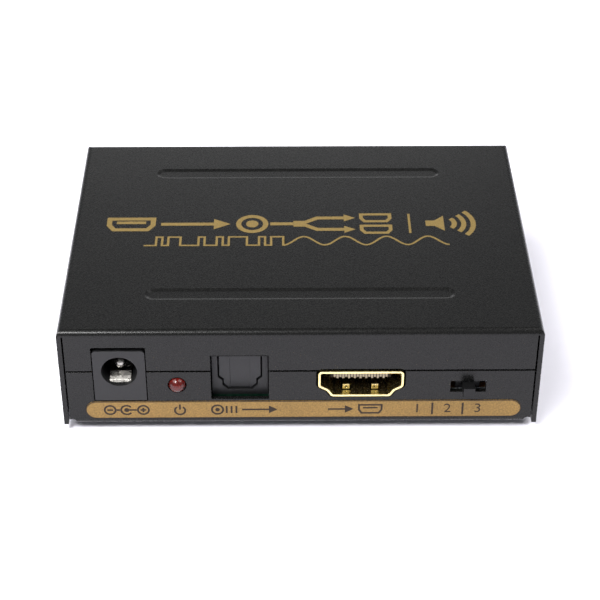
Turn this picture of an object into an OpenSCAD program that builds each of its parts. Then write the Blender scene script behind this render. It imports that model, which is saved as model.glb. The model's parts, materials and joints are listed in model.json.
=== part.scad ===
// Video splitter with audio outputs, in a folded steel case.
// Front panel towards -Y, top towards +Z. The origin is on the ground, midway along and across the part.
// Inside the modules, heights are from the tray's underside and depths from the front panel's plane.

/* [Case] */
// Width of the case, side wall to side wall
case_w = 83; // [82:0.5:100]
// Depth of the case, front panel to rear panel
case_d = 61.5; // [60:0.5:80]
// Height of the case without its feet
case_h = 20.2; // [20:0.1:26]
// Thickness of the folded steel sheet
sheet_t = 0.8; // [0.6:0.05:1]
// Outside radius of the folds
bend_r = 1.05; // [1.02:0.01:1.3]
// Height of the seam between the tray's and the cover's panels
seam_z = 11.72; // [11:0.02:12.4]
// Width of the seam
seam_gap = 0.35; // [0.15:0.05:0.4]
// Gap at the upright corners, between a side wall and a panel
corner_gap = 0.3; // [0.2:0.05:0.5]
// Clearance between the cover's side walls and the tray's side flanges
side_fit = 0.15; // [0.1:0.01:0.3]
// Height of the tray's side flanges
side_flange_h = 12; // [10:0.5:15]
// Distance of the side flanges' ends from the panels
side_flange_setback = 2; // [1.5:0.1:4]
// Radius of the relief holes punched where the tray's folds meet
relief_r = 0.8; // [0.4:0.05:0.9]

/* [Top grooves] */
// Length of each pressed groove
groove_l = 54.2; // [40:0.2:64]
// Width of each groove at the top
groove_w = 3.3; // [2.6:0.1:5]
// Depth of each groove
groove_depth = 0.25; // [0.15:0.05:0.4]
// Width of a groove's sloping wall
groove_slope = 0.6; // [0.4:0.05:0.9]
// Distance from the front plane to the front groove's middle
groove_front_y = 11.05; // [8:0.05:16]
// Distance from the rear plane to the rear groove's middle
groove_rear_inset = 10.85; // [8:0.05:16]

/* [Screws and feet] */
// Radius of a cover screw's countersunk head
cover_head_r = 2.3; // [2:0.1:2.6]
// Height of that head
cover_head_h = 1.2; // [1:0.05:1.4]
// Radius of a cover screw's shank
cover_shank_r = 1.25; // [1:0.05:1.4]
// Length of a cover screw
cover_screw_l = 4; // [3.4:0.1:5]
// Height of the cover screws
cover_screw_z = 7; // [5:0.1:9]
// Distance of the cover screws from the panels
cover_screw_inset = 14; // [10:0.5:18]
// Height of the clinch nuts on the side flanges
clinch_nut_h = 1.4; // [1:0.1:1.6]
// Radius of the clinch nuts
clinch_nut_r = 2.4; // [2:0.1:3]
// Radius of a rubber foot
foot_r = 4; // [3:0.1:5]
// Height of a rubber foot below the tray
foot_h = 1.6; // [1:0.1:3]
// Distance of a foot's middle from the case's sides
foot_inset_x = 8; // [6.5:0.5:14]
// Distance of a foot's middle from the panels
foot_inset_y = 8; // [7:0.5:14]
// Rounding at the lower edge of a foot
foot_edge = 0.4; // [0.2:0.05:0.8]

/* [Legend strips] */
// Distance of a strip's ends from the case's sides
strip_inset = 3.45; // [2.5:0.05:10]
// How far the front strip sits to the right of the middle
strip_shift = 0.55; // [0:0.05:1]
// Height of a strip
strip_h = 3.75; // [3:0.05:4]
// Height of a strip's middle
strip_z = 3.28; // [3:0.02:3.5]
// Thickness of a strip
strip_t = 0.1; // [0.05:0.01:0.2]

/* [Board] */
// Thickness of the main board
board_t = 1.6; // [1.2:0.1:2]
// Height of the standoffs under the board
standoff_h = 3; // [2.6:0.1:4]
// Gap between the board and the panels' inner faces
board_end_gap = 0.8; // [0.4:0.1:1.2]
// Gap between the board and the clinch nuts
board_side_gap = 0.5; // [0.3:0.1:1]
// Distance of the board screws from the panels
board_screw_inset_y = 20.5; // [19.5:0.5:23]
// Distance of the board screws from the board's side edges
board_screw_inset_x = 3.6; // [3.4:0.1:4]
// Radius of a board screw's shank
board_screw_r = 1.5; // [1.2:0.05:1.5]
// Radius of a board screw's head
board_head_r = 2.75; // [2.4:0.05:3]
// Height of a board screw's head
board_head_h = 1.7; // [1.4:0.1:2.2]
// Outside radius of a standoff
standoff_r = 2.6; // [2.2:0.1:3]
// Length of a lead below the board
lead_tail = 1.2; // [0.8:0.1:1.5]

/* [Power socket] */
// Place of the power socket across the front panel, from its middle, as a share of the case's width
dc_x_share = -0.3759; // [-0.392:0.0001:-0.361]
// Width of the socket's body
dc_w = 9; // [8.6:0.1:9.4]
// Height of the socket's front block
dc_h = 10.7; // [10.4:0.1:11.4]
// Depth of the socket's body
dc_depth = 14.2; // [13:0.1:15]
// Height of the hole's middle above the board
dc_centre_h = 6.3; // [6.2:0.05:6.6]
// Radius of the hole
dc_hole_r = 3.1; // [3:0.05:3.3]
// Radius of the centre pin
dc_pin_r = 1.05; // [0.8:0.05:1.25]
// Distance of the centre pin's tip behind the panel plane
dc_pin_setback = 2; // [1:0.1:3]
// Width of the leaf contact
dc_leaf_w = 3.7; // [3:0.1:4]

/* [Lamp] */
// Place of the lamp across the front panel, from its middle, as a share of the case's width
led_x_share = -0.2572; // [-0.271:0.0001:-0.241]
// Height of the lamp's axis above the board
led_centre_h = 3.35; // [3:0.05:4]
// Radius of the lamp's lens
led_r = 1.5; // [1.4:0.05:1.6]
// How far the lens stands out of the panel
led_out = 1.1; // [0.6:0.1:1.6]

/* [Optical socket] */
// Place of the optical socket across the front panel, from its middle, as a share of the case's width
optical_x_share = -0.1265; // [-0.145:0.0001:-0.114]
// Width of its housing
optical_w = 9.7; // [9.6:0.1:10.5]
// Height of its housing
optical_h = 10; // [9.9:0.1:10.6]
// Depth of its housing
optical_depth = 13.5; // [13.4:0.1:15]
// Distance of its face behind the panel plane
optical_setback = 1.6; // [1.4:0.1:1.8]
// Half the width of the shutter
shutter_half_w = 3.6; // [3.5:0.01:3.7]
// Height of the shutter from its foot to its pivot
shutter_l = 7.55; // [7:0.05:7.6]
// Thickness of the shutter
shutter_t = 1; // [0.8:0.05:1.1]
// Height of the shutter's foot above the board
shutter_foot_h = 1.3; // [1.2:0.05:1.4]
// Gap around the shutter
shutter_gap = 0.27; // [0.15:0.01:0.3]

/* [Video sockets] */
// Place of the video input across the front panel, from its middle, as a share of the case's width
video_in_x_share = 0.1259; // [0.108:0.0001:0.157]
// Place of the first video output across the rear panel, from its middle, as a share of the case's width
video_out1_x_share = -0.3253; // [-0.337:0.0001:-0.313]
// Place of the second video output across the rear panel, from its middle, as a share of the case's width
video_out2_x_share = -0.0843; // [-0.108:0.0001:-0.072]
// Half the width of the shell
video_half_w = 7.38; // [7.3:0.01:7.5]
// Half the height of the shell
video_half_h = 2.71; // [2.65:0.01:2.8]
// Thickness of the shell's wall
video_shell_t = 0.38; // [0.3:0.01:0.45]
// Length of the shell
video_depth = 11.4; // [10.5:0.1:12.5]
// How far the shell stands out of the panel
video_out = 0.3; // [0:0.05:0.6]
// Height of the shell's middle above the board
video_centre_h = 3.6; // [3.4:0.05:3.7]
// Gap around the shell in the panel
video_gap = 0.36; // [0.2:0.02:0.4]

/* [Phono sockets] */
// Place of the pair's middle across the rear panel, from its middle, as a share of the case's width
phono_x_share = 0.2711; // [0.253:0.0001:0.283]
// Distance between the two sockets
phono_pitch = 14; // [13:0.5:14.5]
// Outside radius of a socket's barrel
phono_r = 4.15; // [4:0.05:4.3]
// Inside radius of a socket's barrel
phono_bore_r = 3.7; // [3.4:0.05:3.8]
// Radius of the plug's hole
phono_hole_r = 1.65; // [1.6:0.01:1.75]
// How far a barrel stands out of the rear panel
phono_out = 8; // [7:0.1:9]
// Extra radius of the collar round a barrel's foot
phono_collar = 0.3; // [0.2:0.05:0.4]
// Height of a barrel's axis above the board
phono_centre_h = 5.3; // [5.1:0.05:5.6]
// Depth of the housing behind the panel
phono_depth = 10; // [9:0.5:11]

/* [Mode switch] */
// Place of the switch across the front panel, from its middle, as a share of the case's width
switch_x_share = 0.3506; // [0.337:0.0001:0.355]
// Height of the lever's middle above the board
switch_centre_h = 2.75; // [2.7:0.05:3]
// Travel of the lever to each side
switch_travel = 2; // [1.5:0.1:2.1]
// Width of the lever
lever_w = 2; // [1.6:0.1:2.2]
// Height of the lever
lever_h = 2; // [1.8:0.1:2.2]
// How far the lever stands out of the panel
lever_out = 2; // [1.5:0.1:2.5]
// Clearance around the lever
lever_gap = 0.1; // [0.06:0.01:0.15]
// Depth of the switch's body
switch_depth = 4.6; // [4.4:0.1:5.5]
// Thickness of the switch's metal frame
frame_t = 0.3; // [0.2:0.05:0.4]

/* [Hidden] */
$fn = 48;
// Shared clearances and overruns
over = 0.5;
snug = 0.03;
running = 0.05;
lead_gap = 0.12;
// Heights of the board, and the frame that every node is moved to
board_z0 = sheet_t + standoff_h;
board_z = board_z0 + board_t;
mid_y = (case_d + phono_out - lever_out) / 2;
// Places across the panels
dc_x = dc_x_share * case_w;
led_x = led_x_share * case_w;
optical_x = optical_x_share * case_w;
video_in_x = video_in_x_share * case_w;
video_out1_x = video_out1_x_share * case_w;
video_out2_x = video_out2_x_share * case_w;
phono_x = phono_x_share * case_w;
switch_x = switch_x_share * case_w;
strip_l = case_w - 2 * strip_inset;
fold_inner_r = bend_r - sheet_t;
tray_w = case_w - 2 * (sheet_t + side_fit);
panel_half_w = case_w / 2 - sheet_t - corner_gap;
nut_face_x = tray_w / 2 - sheet_t - clinch_nut_h;
board_w = 2 * (nut_face_x - board_side_gap);
board_y0 = sheet_t + board_end_gap;
board_y1 = case_d - board_y0;
board_d = board_y1 - board_y0;
tail_z = board_z0 - lead_tail;
// Screws and standoffs
cover_screw_ys = [cover_screw_inset, case_d - cover_screw_inset];
cover_recess_w = 0.5;
cover_recess_depth = 0.6;
cover_thread_gap = 0.04;
board_screw_x = board_w / 2 - board_screw_inset_x;
board_screw_places = [for (x = [-board_screw_x, board_screw_x],
    y = [board_screw_inset_y, case_d - board_screw_inset_y]) [x, y]];
board_hole_gap = 0.15;
board_recess_w = 0.7;
board_recess_depth = 1;
standoff_clinch_step = 0.375;
clinch_r = standoff_r - standoff_clinch_step;
foot_places = [for (x = [-1, 1] * (case_w / 2 - foot_inset_x),
    y = [foot_inset_y, case_d - foot_inset_y]) [x, y]];
// Power socket
dc_block_depth = 3.4;
dc_corner_r = 0.6;
dc_panel_gap = 0.18;
dc_top_gap = 0.8;
dc_z = board_z + dc_centre_h;
dc_hole_depth = 10.6;
dc_shoulder_share = 1.25;
dc_shoulder_r = dc_pin_r * dc_shoulder_share;
dc_leaf_t = 0.3;
dc_leaf_y0 = 0.9;
dc_leaf_y1 = 10;
dc_leaf_side_gap = 0.12;
dc_leaf_low = dc_hole_r - dc_leaf_t / 2;
dc_leaf_lift = 1.15;
dc_leaf_shares = [[0, 0], [0.03, 0.3], [0.1, 0.62], [0.2, 1], [0.3, 1], [0.5, 0.72], [0.75, 0.3], [1, 0]];
dc_terminal_w = 2.4;
dc_tail_plate_w = 3;
dc_contact_y = 8.2;
dc_contact_w = 2.4;
dc_contact_h = 4.5;
// Lamp
led_z = board_z + led_centre_h;
led_body_l = 5.3;
led_flange_r = 1.9;
led_flange_l = 1;
led_hole_gap = 0.14;
led_lead_w = 0.5;
led_lead_pitch = 2.54;
led_lead_back = 1.6;
led_y1 = led_body_l - led_out;
// Optical socket
optical_panel_gap = 0.17;
optical_top_z = board_z + optical_h;
optical_cut_top = 0.24;
optical_y1 = optical_setback + optical_depth;
shutter_inset = 0.3;
shutter_y0 = optical_setback + shutter_inset;
shutter_foot_z = board_z + shutter_foot_h;
pivot_setback = 0.85;
pivot_y = shutter_y0 + pivot_setback;
pivot_z = shutter_foot_z + shutter_l;
pivot_r = 0.35;
pivot_seat = 0.6;
knuckle_r = 0.6;
knuckle_gap = 0.1;
pocket_half_w = shutter_half_w + shutter_gap;
pocket_rise = 0.75;
pocket_depth = 9.9;
pocket_y1 = optical_setback + pocket_depth;
shutter_step = [0.77, 0.7, 1, 0.9];
shutter_rib_half_w = 1.75;
shutter_rib_depth = 0.12;
shutter_rib_share = 0.84;
spring_wire_r = 0.1;
spring_coil_r = 0.52;
spring_turns = 3.25;
spring_pitch = 0.4;
spring_leg = 2.4;
spring_gap_half_w = 1.3;
spring_gap_r = 0.7;
emitter_half_w = 2.4;
emitter_half_h = 2.6;
emitter_barrel_r = 1.6;
emitter_barrel_l = 1.2;
emitter_bore_r = 1.1;
emitter_bore_depth = 0.9;
emitter_lead_pitch = 1.27;
// Video sockets
video_corner_r = 0.7;
video_side_share = 0.22;
video_step_x_share = 0.79;
video_step_z_share = 0.56;
video_foot_x_share = 0.69;
video_mouth = 7.6;
video_leg_w = 1.7;
video_leg_ys = [3.2, 8.8];
tongue_half_w = 5.3;
tongue_low = 0;
tongue_t = 1;
tongue_setback = 1.7;
video_contact_w = 0.35;
video_contact_t = 0.15;
video_contact_pitch = 1;
video_contact_lip = 0.85;
video_contact_foot = 1;
video_contact_top_n = 10;
finger_w = 1.2;
finger_x = 2.5;
finger_tip_y = 1.4;
finger_root_y = 6.6;
finger_rise = 0.35;
finger_t = 0.25;
finger_pad_w = 1.15;
finger_pad_h = 1.08;
finger_pad_hole = 0.36;
finger_slot_gap = 0.2;
// Phono sockets
phono_panel_gap = 0.3;
phono_block_w = 12.6;
phono_block_h = 12.4;
phono_block_gap = 0.2;
phono_face_inset = 0.6;
phono_hole_depth = 8.5;
phono_contact_r = 2.2;
phono_contact_l = 5;
phono_lead_w = 1.4;
phono_lead_t = 0.4;
phono_ground_x = 2.9;
phono_collar_r = phono_r + phono_collar;
phono_collar_out = 0.4;
phono_y1 = case_d - sheet_t - phono_block_gap;
phono_y0 = phono_y1 - phono_depth;
phono_z = board_z + phono_centre_h;
// Mode switch
switch_z = board_z + switch_centre_h;
switch_front_gap = 0.25;
switch_y0 = sheet_t + switch_front_gap;
switch_wall = 1.1;
carriage_w = 4.2;
carriage_h = 3.2;
carriage_d = 1.5;
switch_half_w = carriage_w / 2 + switch_travel + lever_gap + switch_wall;
switch_wall_share = 0.9;
switch_half_h = carriage_h / 2 + lever_gap + switch_wall * switch_wall_share;
slot_half_w = lever_w / 2 + switch_travel + lever_gap;
slot_half_h = lever_h / 2 + 2 * lever_gap;
wiper_t = 0.3;
wiper_bump = 0.35;
wiper_w = 3.2;
wiper_h = 1.2;
switch_terminal_n = 4;
switch_terminal_pitch = 2;
switch_terminal_w = 0.8;
switch_terminal_t = 0.4;
switch_leg_w = 1.2;
// Electronic parts
chip_stand = 0.1;
flat_lead_t = 0.15;
flat_lead_reach = 0.9;
flat_lead_knee_share = 0.4;
flat_lead_knee = flat_lead_reach * flat_lead_knee_share;
board_place = [-board_w / 2, board_y0];

// Moves a piece from the case's own frame to the part's frame
module in_frame() {
    translate([0, -mid_y, foot_h]) children();
}

// Outlines drawn across the width and upwards, drawn out in depth
module along_y(y0, y1) {
    translate([0, y1, 0]) rotate([90, 0, 0]) linear_extrude(y1 - y0) children();
}

// Outlines drawn in depth and upwards, drawn out across the width
module along_x(x0, x1) {
    translate([x0, 0, 0]) rotate([90, 0, 90]) linear_extrude(x1 - x0) children();
}

// A box between two corners
module block(a, b) {
    translate(a) cube(b - a);
}

// A cylinder along the depth or across the width
module rod_y(x, z, y0, y1, r) {
    translate([x, y1, z]) rotate([90, 0, 0]) cylinder(h = y1 - y0, r = r);
}
module rod_x(y, z, x0, x1, r) {
    translate([x0, y, z]) rotate([0, 90, 0]) cylinder(h = x1 - x0, r = r);
}

// Outlines run anticlockwise. The outward normal of an edge, an outline grown by g, and its rounded form
function edge_normal(a, b) = let (d = (b - a) / norm(b - a)) [d[1], -d[0]];
function grown(pts, g) = [for (i = [0 : len(pts) - 1]) let (
    m = edge_normal(pts[(i + len(pts) - 1) % len(pts)], pts[i]),
    n = edge_normal(pts[i], pts[(i + 1) % len(pts)])) pts[i] + g * (m + n) / (1 + m * n)];
function turn_of(a, b) = a[0] * b[1] - a[1] * b[0];
// An outline already grown by g keeps its corners parallel to those of radius r before it grew
function rounded(pts, r, g = 0, steps = 6) = [for (i = [0 : len(pts) - 1]) let (
    m = edge_normal(pts[(i + len(pts) - 1) % len(pts)], pts[i]),
    n = edge_normal(pts[i], pts[(i + 1) % len(pts)]),
    s = sign(turn_of(m, n)),
    q = r + s * g,
    c = pts[i] - s * q * (m + n) / (1 + m * n),
    a0 = atan2(s * m[1], s * m[0]),
    sweep = asin(turn_of(m, n)))
    for (k = [0 : steps]) let (a = a0 + sweep * k / steps) c + q * [cos(a), sin(a)]];
function box_outline(x0, z0, x1, z1) = [[x0, z0], [x1, z0], [x1, z1], [x0, z1]];

// A U across the middle with rounded feet, open at the top, of one sheet thickness
module folded_u(w, h) {
    difference() {
        union() {
            translate([-w / 2, bend_r]) square([w, h - bend_r]);
            translate([bend_r - w / 2, 0]) square([w - 2 * bend_r, bend_r]);
            for (s = [-1, 1]) translate([s * (w / 2 - bend_r), bend_r]) circle(r = bend_r);
        }
        translate([sheet_t - w / 2, bend_r]) square([w - 2 * sheet_t, h - bend_r + over]);
        translate([bend_r - w / 2, sheet_t]) square([w - 2 * bend_r, bend_r]);
        for (s = [-1, 1]) translate([s * (w / 2 - bend_r), bend_r]) circle(r = fold_inner_r);
    }
}

// A rectangle with a rounded top, standing on z = 0
module rounded_top(w, h, r) {
    translate([-w / 2, 0]) square([w, h - r]);
    translate([r - w / 2, h - r - over]) square([w - 2 * r, r + over]);
    for (s = [-1, 1]) translate([s * (w / 2 - r), h - r]) circle(r = r);
}

// Case

// The openings that both halves of the front panel share
module front_openings() {
    along_y(-over, sheet_t + over) {
        polygon(rounded(box_outline(dc_x - dc_w / 2 - dc_panel_gap, board_z - dc_panel_gap,
            dc_x + dc_w / 2 + dc_panel_gap, board_z + dc_h + dc_top_gap), dc_corner_r / 2));
        polygon(box_outline(optical_x - optical_w / 2 - optical_panel_gap, board_z + optical_panel_gap,
            optical_x + optical_w / 2 + optical_panel_gap, optical_top_z - optical_cut_top));
        translate([video_in_x, board_z + video_centre_h]) polygon(video_outline(video_gap));
    }
    rod_y(led_x, led_z, -over, sheet_t + over, led_r + led_hole_gap);
    block([switch_x - slot_half_w, -over, switch_z - slot_half_h],
        [switch_x + slot_half_w, sheet_t + over, switch_z + slot_half_h]);
}

// The openings that both halves of the rear panel share
module rear_openings() {
    along_y(case_d - sheet_t - over, case_d + over)
        for (x = [video_out1_x, video_out2_x])
            translate([x, board_z + video_centre_h]) polygon(video_outline(video_gap));
    for (x = phono_xs())
        rod_y(x, phono_z, case_d - sheet_t - over, case_d + over, phono_collar_r + phono_panel_gap);
}
function phono_xs() = [phono_x - phono_pitch / 2, phono_x + phono_pitch / 2];

// One cover screw's shape, pointing to -X from the case's side, with a clearance
module cover_screw_shape(grow) {
    rotate([0, -90, 0]) {
        cylinder(h = cover_head_h, r1 = cover_head_r + grow, r2 = cover_shank_r + grow);
        cylinder(h = cover_screw_l + grow, r = cover_shank_r + grow);
    }
}
module at_cover_screws() {
    for (y = cover_screw_ys) translate([case_w / 2, y, cover_screw_z]) children();
    for (y = cover_screw_ys) mirror([1, 0, 0]) translate([case_w / 2, y, cover_screw_z]) children();
}

module base_tray() color("#3d3d3e") in_frame() difference() {
    union() {
        along_x(-panel_half_w, panel_half_w)
            translate([case_d / 2, 0]) folded_u(case_d, seam_z - seam_gap / 2);
        along_y(side_flange_setback, case_d - side_flange_setback) folded_u(tray_w, side_flange_h);
        for (y = cover_screw_ys) for (s = [-1, 1])
            rod_x(y, cover_screw_z, s < 0 ? -tray_w / 2 + sheet_t / 2 : nut_face_x,
                s < 0 ? -nut_face_x : tray_w / 2 - sheet_t / 2, clinch_nut_r);
    }
    front_openings();
    rear_openings();
    at_cover_screws() cover_screw_shape(cover_thread_gap);
    for (p = board_screw_places) translate([p[0], p[1], -over])
        cylinder(h = sheet_t + 2 * over, r = clinch_r);
    for (s = [-1, 1]) {
        rod_y(s * (panel_half_w - relief_r / 2), relief_r / 2, -over, side_flange_setback, relief_r);
        rod_y(s * (panel_half_w - relief_r / 2), relief_r / 2,
            case_d - side_flange_setback, case_d + over, relief_r);
    }
}

// A pressed groove's solid, grown on all sides by g and sunk by the same, with its middle at y
module groove_shape(y, g) {
    top_r = groove_w / 2 + g;
    low_r = top_r - groove_slope;
    reach = groove_l / 2 - groove_w / 2;
    translate([0, y, case_h - groove_depth - g]) {
        for (s = [-1, 1]) translate([s * reach, 0, 0])
            cylinder(h = groove_depth + g, r1 = low_r, r2 = top_r + g * groove_slope / groove_depth);
        along_x(-reach, reach) polygon([[-low_r, 0], [low_r, 0],
            [top_r + g * groove_slope / groove_depth, groove_depth + g],
            [-top_r - g * groove_slope / groove_depth, groove_depth + g]]);
    }
}
// The groove's cut reaches a little above the sheet, with straight walls there
module groove_cut(y) {
    reach = groove_l / 2 - groove_w / 2;
    groove_shape(y, 0);
    for (s = [-1, 1]) translate([s * reach, y, case_h]) cylinder(h = over, r = groove_w / 2);
    block([-reach, y - groove_w / 2, case_h], [reach, y + groove_w / 2, case_h + over]);
}

module top_cover() color("#3a3a39") in_frame() difference() {
    union() {
        difference() {
            intersection() {
                along_y(0, case_d) rounded_top(case_w, case_h, bend_r);
                along_x(-case_w, case_w) translate([case_d / 2, 0]) rounded_top(case_d, case_h, bend_r);
            }
            intersection() {
                along_y(-over, case_d + over)
                    translate([0, -over])
                        rounded_top(case_w - 2 * sheet_t, case_h - sheet_t + over, fold_inner_r);
                along_x(-case_w, case_w) translate([case_d / 2, -over])
                    rounded_top(case_d - 2 * sheet_t, case_h - sheet_t + over, fold_inner_r);
            }
        }
        intersection() {
            for (y = [groove_front_y, case_d - groove_rear_inset]) groove_shape(y, sheet_t);
            block([-case_w, 0, 0], [case_w, case_d, case_h - sheet_t / 2]);
        }
    }
    for (y = [groove_front_y, case_d - groove_rear_inset]) groove_cut(y);
    block([-case_w / 2 + sheet_t, -over, -over], [case_w / 2 - sheet_t, bend_r, seam_z + seam_gap / 2]);
    block([-case_w / 2 + sheet_t, case_d - bend_r, -over],
        [case_w / 2 - sheet_t, case_d + over, seam_z + seam_gap / 2]);
    for (s = [-1, 1]) for (y = [0, case_d])
        block([s * (case_w / 2 - sheet_t - corner_gap / 2) - corner_gap / 2, y - bend_r - over, -over],
            [s * (case_w / 2 - sheet_t - corner_gap / 2) + corner_gap / 2, y + bend_r, case_h - bend_r]);
    front_openings();
    rear_openings();
    at_cover_screws() cover_screw_shape(cover_thread_gap);
}

// A cross recess cut into a head along +Z from z = 0
module cross_recess(reach, w, depth) {
    translate([-reach, -w / 2, 0]) cube([2 * reach, w, depth]);
    translate([-w / 2, -reach, 0]) cube([w, 2 * reach, depth]);
}

module cover_screws() color("#2b2b2c") in_frame() at_cover_screws() difference() {
    cover_screw_shape(0);
    rotate([0, -90, 0]) translate([0, 0, -over])
        cross_recess(cover_shank_r, cover_recess_w, cover_recess_depth + over);
}

module board_standoffs() color("#b9bcbf") in_frame() for (p = board_screw_places) difference() {
    translate([p[0], p[1], 0]) union() {
        cylinder(h = sheet_t + standoff_h, r = clinch_r);
        translate([0, 0, sheet_t]) cylinder(h = standoff_h, r = standoff_r);
    }
    translate([p[0], p[1], sheet_t]) cylinder(h = standoff_h + over, r = board_screw_r + snug);
}

module board_screws() color("#b4b6b8") in_frame() for (p = board_screw_places) translate([p[0], p[1], 0])
    difference() {
        union() {
            translate([0, 0, sheet_t + board_hole_gap])
                cylinder(h = board_z - sheet_t, r = board_screw_r);
            translate([0, 0, board_z]) cylinder(h = board_head_h, r = board_head_r);
        }
        translate([0, 0, board_z + board_head_h - board_recess_depth])
            cross_recess(board_screw_r, board_recess_w, board_recess_depth + over);
    }

module rubber_feet() color("#1c1c1d") in_frame() for (p = foot_places) translate([p[0], p[1], -foot_h])
    rotate_extrude() polygon([[0, 0], [foot_r - foot_edge, 0], [foot_r, foot_edge],
        [foot_r, foot_h], [0, foot_h]]);

// A legend strip with round ends, about x, with its front face at y0
module legend_strip(x, y0) translate([x, 0, 0]) {
    reach = strip_l / 2 - strip_h / 2;
    for (s = [-1, 1]) rod_y(s * reach, strip_z, y0, y0 + strip_t, strip_h / 2);
    block([-reach, y0, strip_z - strip_h / 2], [reach, y0 + strip_t, strip_z + strip_h / 2]);
}
module front_legend_strip() color("#b3935a") in_frame() legend_strip(strip_shift, -strip_t);
module rear_legend_strip() color("#b3935a") in_frame() legend_strip(0, case_d);

// Power socket

module dc_jack_body() color("#3b3b3c") in_frame() difference() {
    union() {
        translate([dc_x, 0, board_z]) {
            along_y(0, dc_block_depth) rounded_top(dc_w, dc_h, dc_corner_r);
            block([-dc_w / 2, 0, 0], [dc_w / 2, dc_depth, dc_centre_h]);
        }
        rod_y(dc_x, dc_z, 0, dc_depth, dc_w / 2 - snug);
    }
    rod_y(dc_x, dc_z, -over, dc_hole_depth, dc_hole_r);
    rod_y(dc_x, dc_z, 0, dc_depth + over, dc_shoulder_r + snug);
    // Slot for the leaf contact, closed at the face by a lip
    block([dc_x - dc_leaf_w / 2 - dc_leaf_side_gap, dc_leaf_y0 - dc_leaf_side_gap,
            dc_z - dc_leaf_low - dc_leaf_t - dc_leaf_side_gap],
        [dc_x + dc_leaf_w / 2 + dc_leaf_side_gap, dc_leaf_y1 + dc_leaf_t + dc_leaf_side_gap, dc_z]);
    // Way down for the leaf's terminal
    block([dc_x - dc_terminal_w / 2 - dc_leaf_side_gap, dc_leaf_y1 - dc_leaf_side_gap, board_z - over],
        [dc_x + dc_terminal_w / 2 + dc_leaf_side_gap, dc_leaf_y1 + dc_leaf_t + dc_leaf_side_gap, dc_z]);
}

module dc_jack_pin() color("#c9cacb") in_frame() {
    rod_y(dc_x, dc_z, dc_pin_setback + dc_pin_r, dc_depth, dc_pin_r);
    rod_y(dc_x, dc_z, dc_hole_depth, dc_depth, dc_shoulder_r);
    translate([dc_x, dc_pin_setback + dc_pin_r, dc_z]) sphere(r = dc_pin_r);
    block([dc_x - dc_tail_plate_w / 2, dc_depth, tail_z],
        [dc_x + dc_tail_plate_w / 2, dc_depth + dc_leaf_t, dc_z + dc_tail_plate_w / 2]);
}

// The leaf rises steeply behind the lip and falls slowly to its terminal
module dc_jack_spring() color("#d2d3d4") in_frame() {
    low = dc_z - dc_leaf_low;
    arch = [for (p = dc_leaf_shares)
        [dc_leaf_y0 + (dc_leaf_y1 - dc_leaf_y0) * p[0], low + dc_leaf_lift * p[1]]];
    under = [for (i = [len(arch) - 1 : -1 : 0]) [arch[i][0], arch[i][1] - dc_leaf_t]];
    along_x(dc_x - dc_leaf_w / 2, dc_x + dc_leaf_w / 2) polygon(concat(under, arch));
    block([dc_x - dc_terminal_w / 2, dc_leaf_y1, tail_z],
        [dc_x + dc_terminal_w / 2, dc_leaf_y1 + dc_leaf_t, low]);
}

module dc_jack_switch_contact() color("#c4c5c6") in_frame()
    block([dc_x + dc_w / 2, dc_contact_y, tail_z],
        [dc_x + dc_w / 2 + dc_leaf_t, dc_contact_y + dc_contact_w, board_z + dc_contact_h]);

// Lamp

module power_led_lens() color("#8a2c2a") in_frame() {
    translate([led_x, led_r - led_out, led_z]) sphere(r = led_r);
    rod_y(led_x, led_z, led_r - led_out, led_y1, led_r);
    rod_y(led_x, led_z, led_y1 - led_flange_l, led_y1, led_flange_r);
}

module power_led_leads() color("#b8babc") in_frame() for (s = [-1, 1])
    translate([led_x + s * led_lead_pitch / 2, 0, 0]) {
        block([-led_lead_w / 2, led_y1, led_z - led_lead_w / 2],
            [led_lead_w / 2, led_y1 + led_lead_back, led_z + led_lead_w / 2]);
        block([-led_lead_w / 2, led_y1 + led_lead_back - led_lead_w, tail_z],
            [led_lead_w / 2, led_y1 + led_lead_back, led_z + led_lead_w / 2]);
    }

// Optical socket

// The shutter's outline below its pivot, with stepped and cut lower corners
function shutter_outline() = let (
    a = shutter_half_w, b = a - shutter_step[0], c = b - shutter_step[3],
    z1 = shutter_foot_z + shutter_step[3], z2 = z1 + shutter_step[2], z3 = z2 + shutter_step[1])
    [[-c, shutter_foot_z], [c, shutter_foot_z], [b, z1], [b, z2], [a, z3],
     [a, pivot_z], [-a, pivot_z], [-a, z3], [-b, z2], [-b, z1]];

module optical_housing() color("#3c3c3d") in_frame() difference() {
    block([optical_x - optical_w / 2, optical_setback, board_z],
        [optical_x + optical_w / 2, optical_y1, optical_top_z]);
    // Socket behind the shutter, and the pocket that takes the raised shutter
    translate([optical_x, 0, 0]) {
        along_y(optical_setback - over, pocket_y1) polygon(grown(shutter_outline(), shutter_gap));
        block([-pocket_half_w, pivot_y - knuckle_r - knuckle_gap, pivot_z - over],
            [pocket_half_w, pocket_y1, pivot_z + pocket_rise]);
        rod_x(pivot_y, pivot_z, -pocket_half_w - pivot_seat, pocket_half_w + pivot_seat, pivot_r + snug);
        // Seat of the emitter
        block([-emitter_half_w - snug, pocket_y1 - over, emitter_z() - emitter_half_h - snug],
            [emitter_half_w + snug, optical_y1 + over, emitter_z() + emitter_half_h + snug]);
    }
}
// The emitter faces the middle of the space under the raised shutter
function emitter_z() = (shutter_foot_z + pivot_z) / 2 - pivot_setback;

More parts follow.
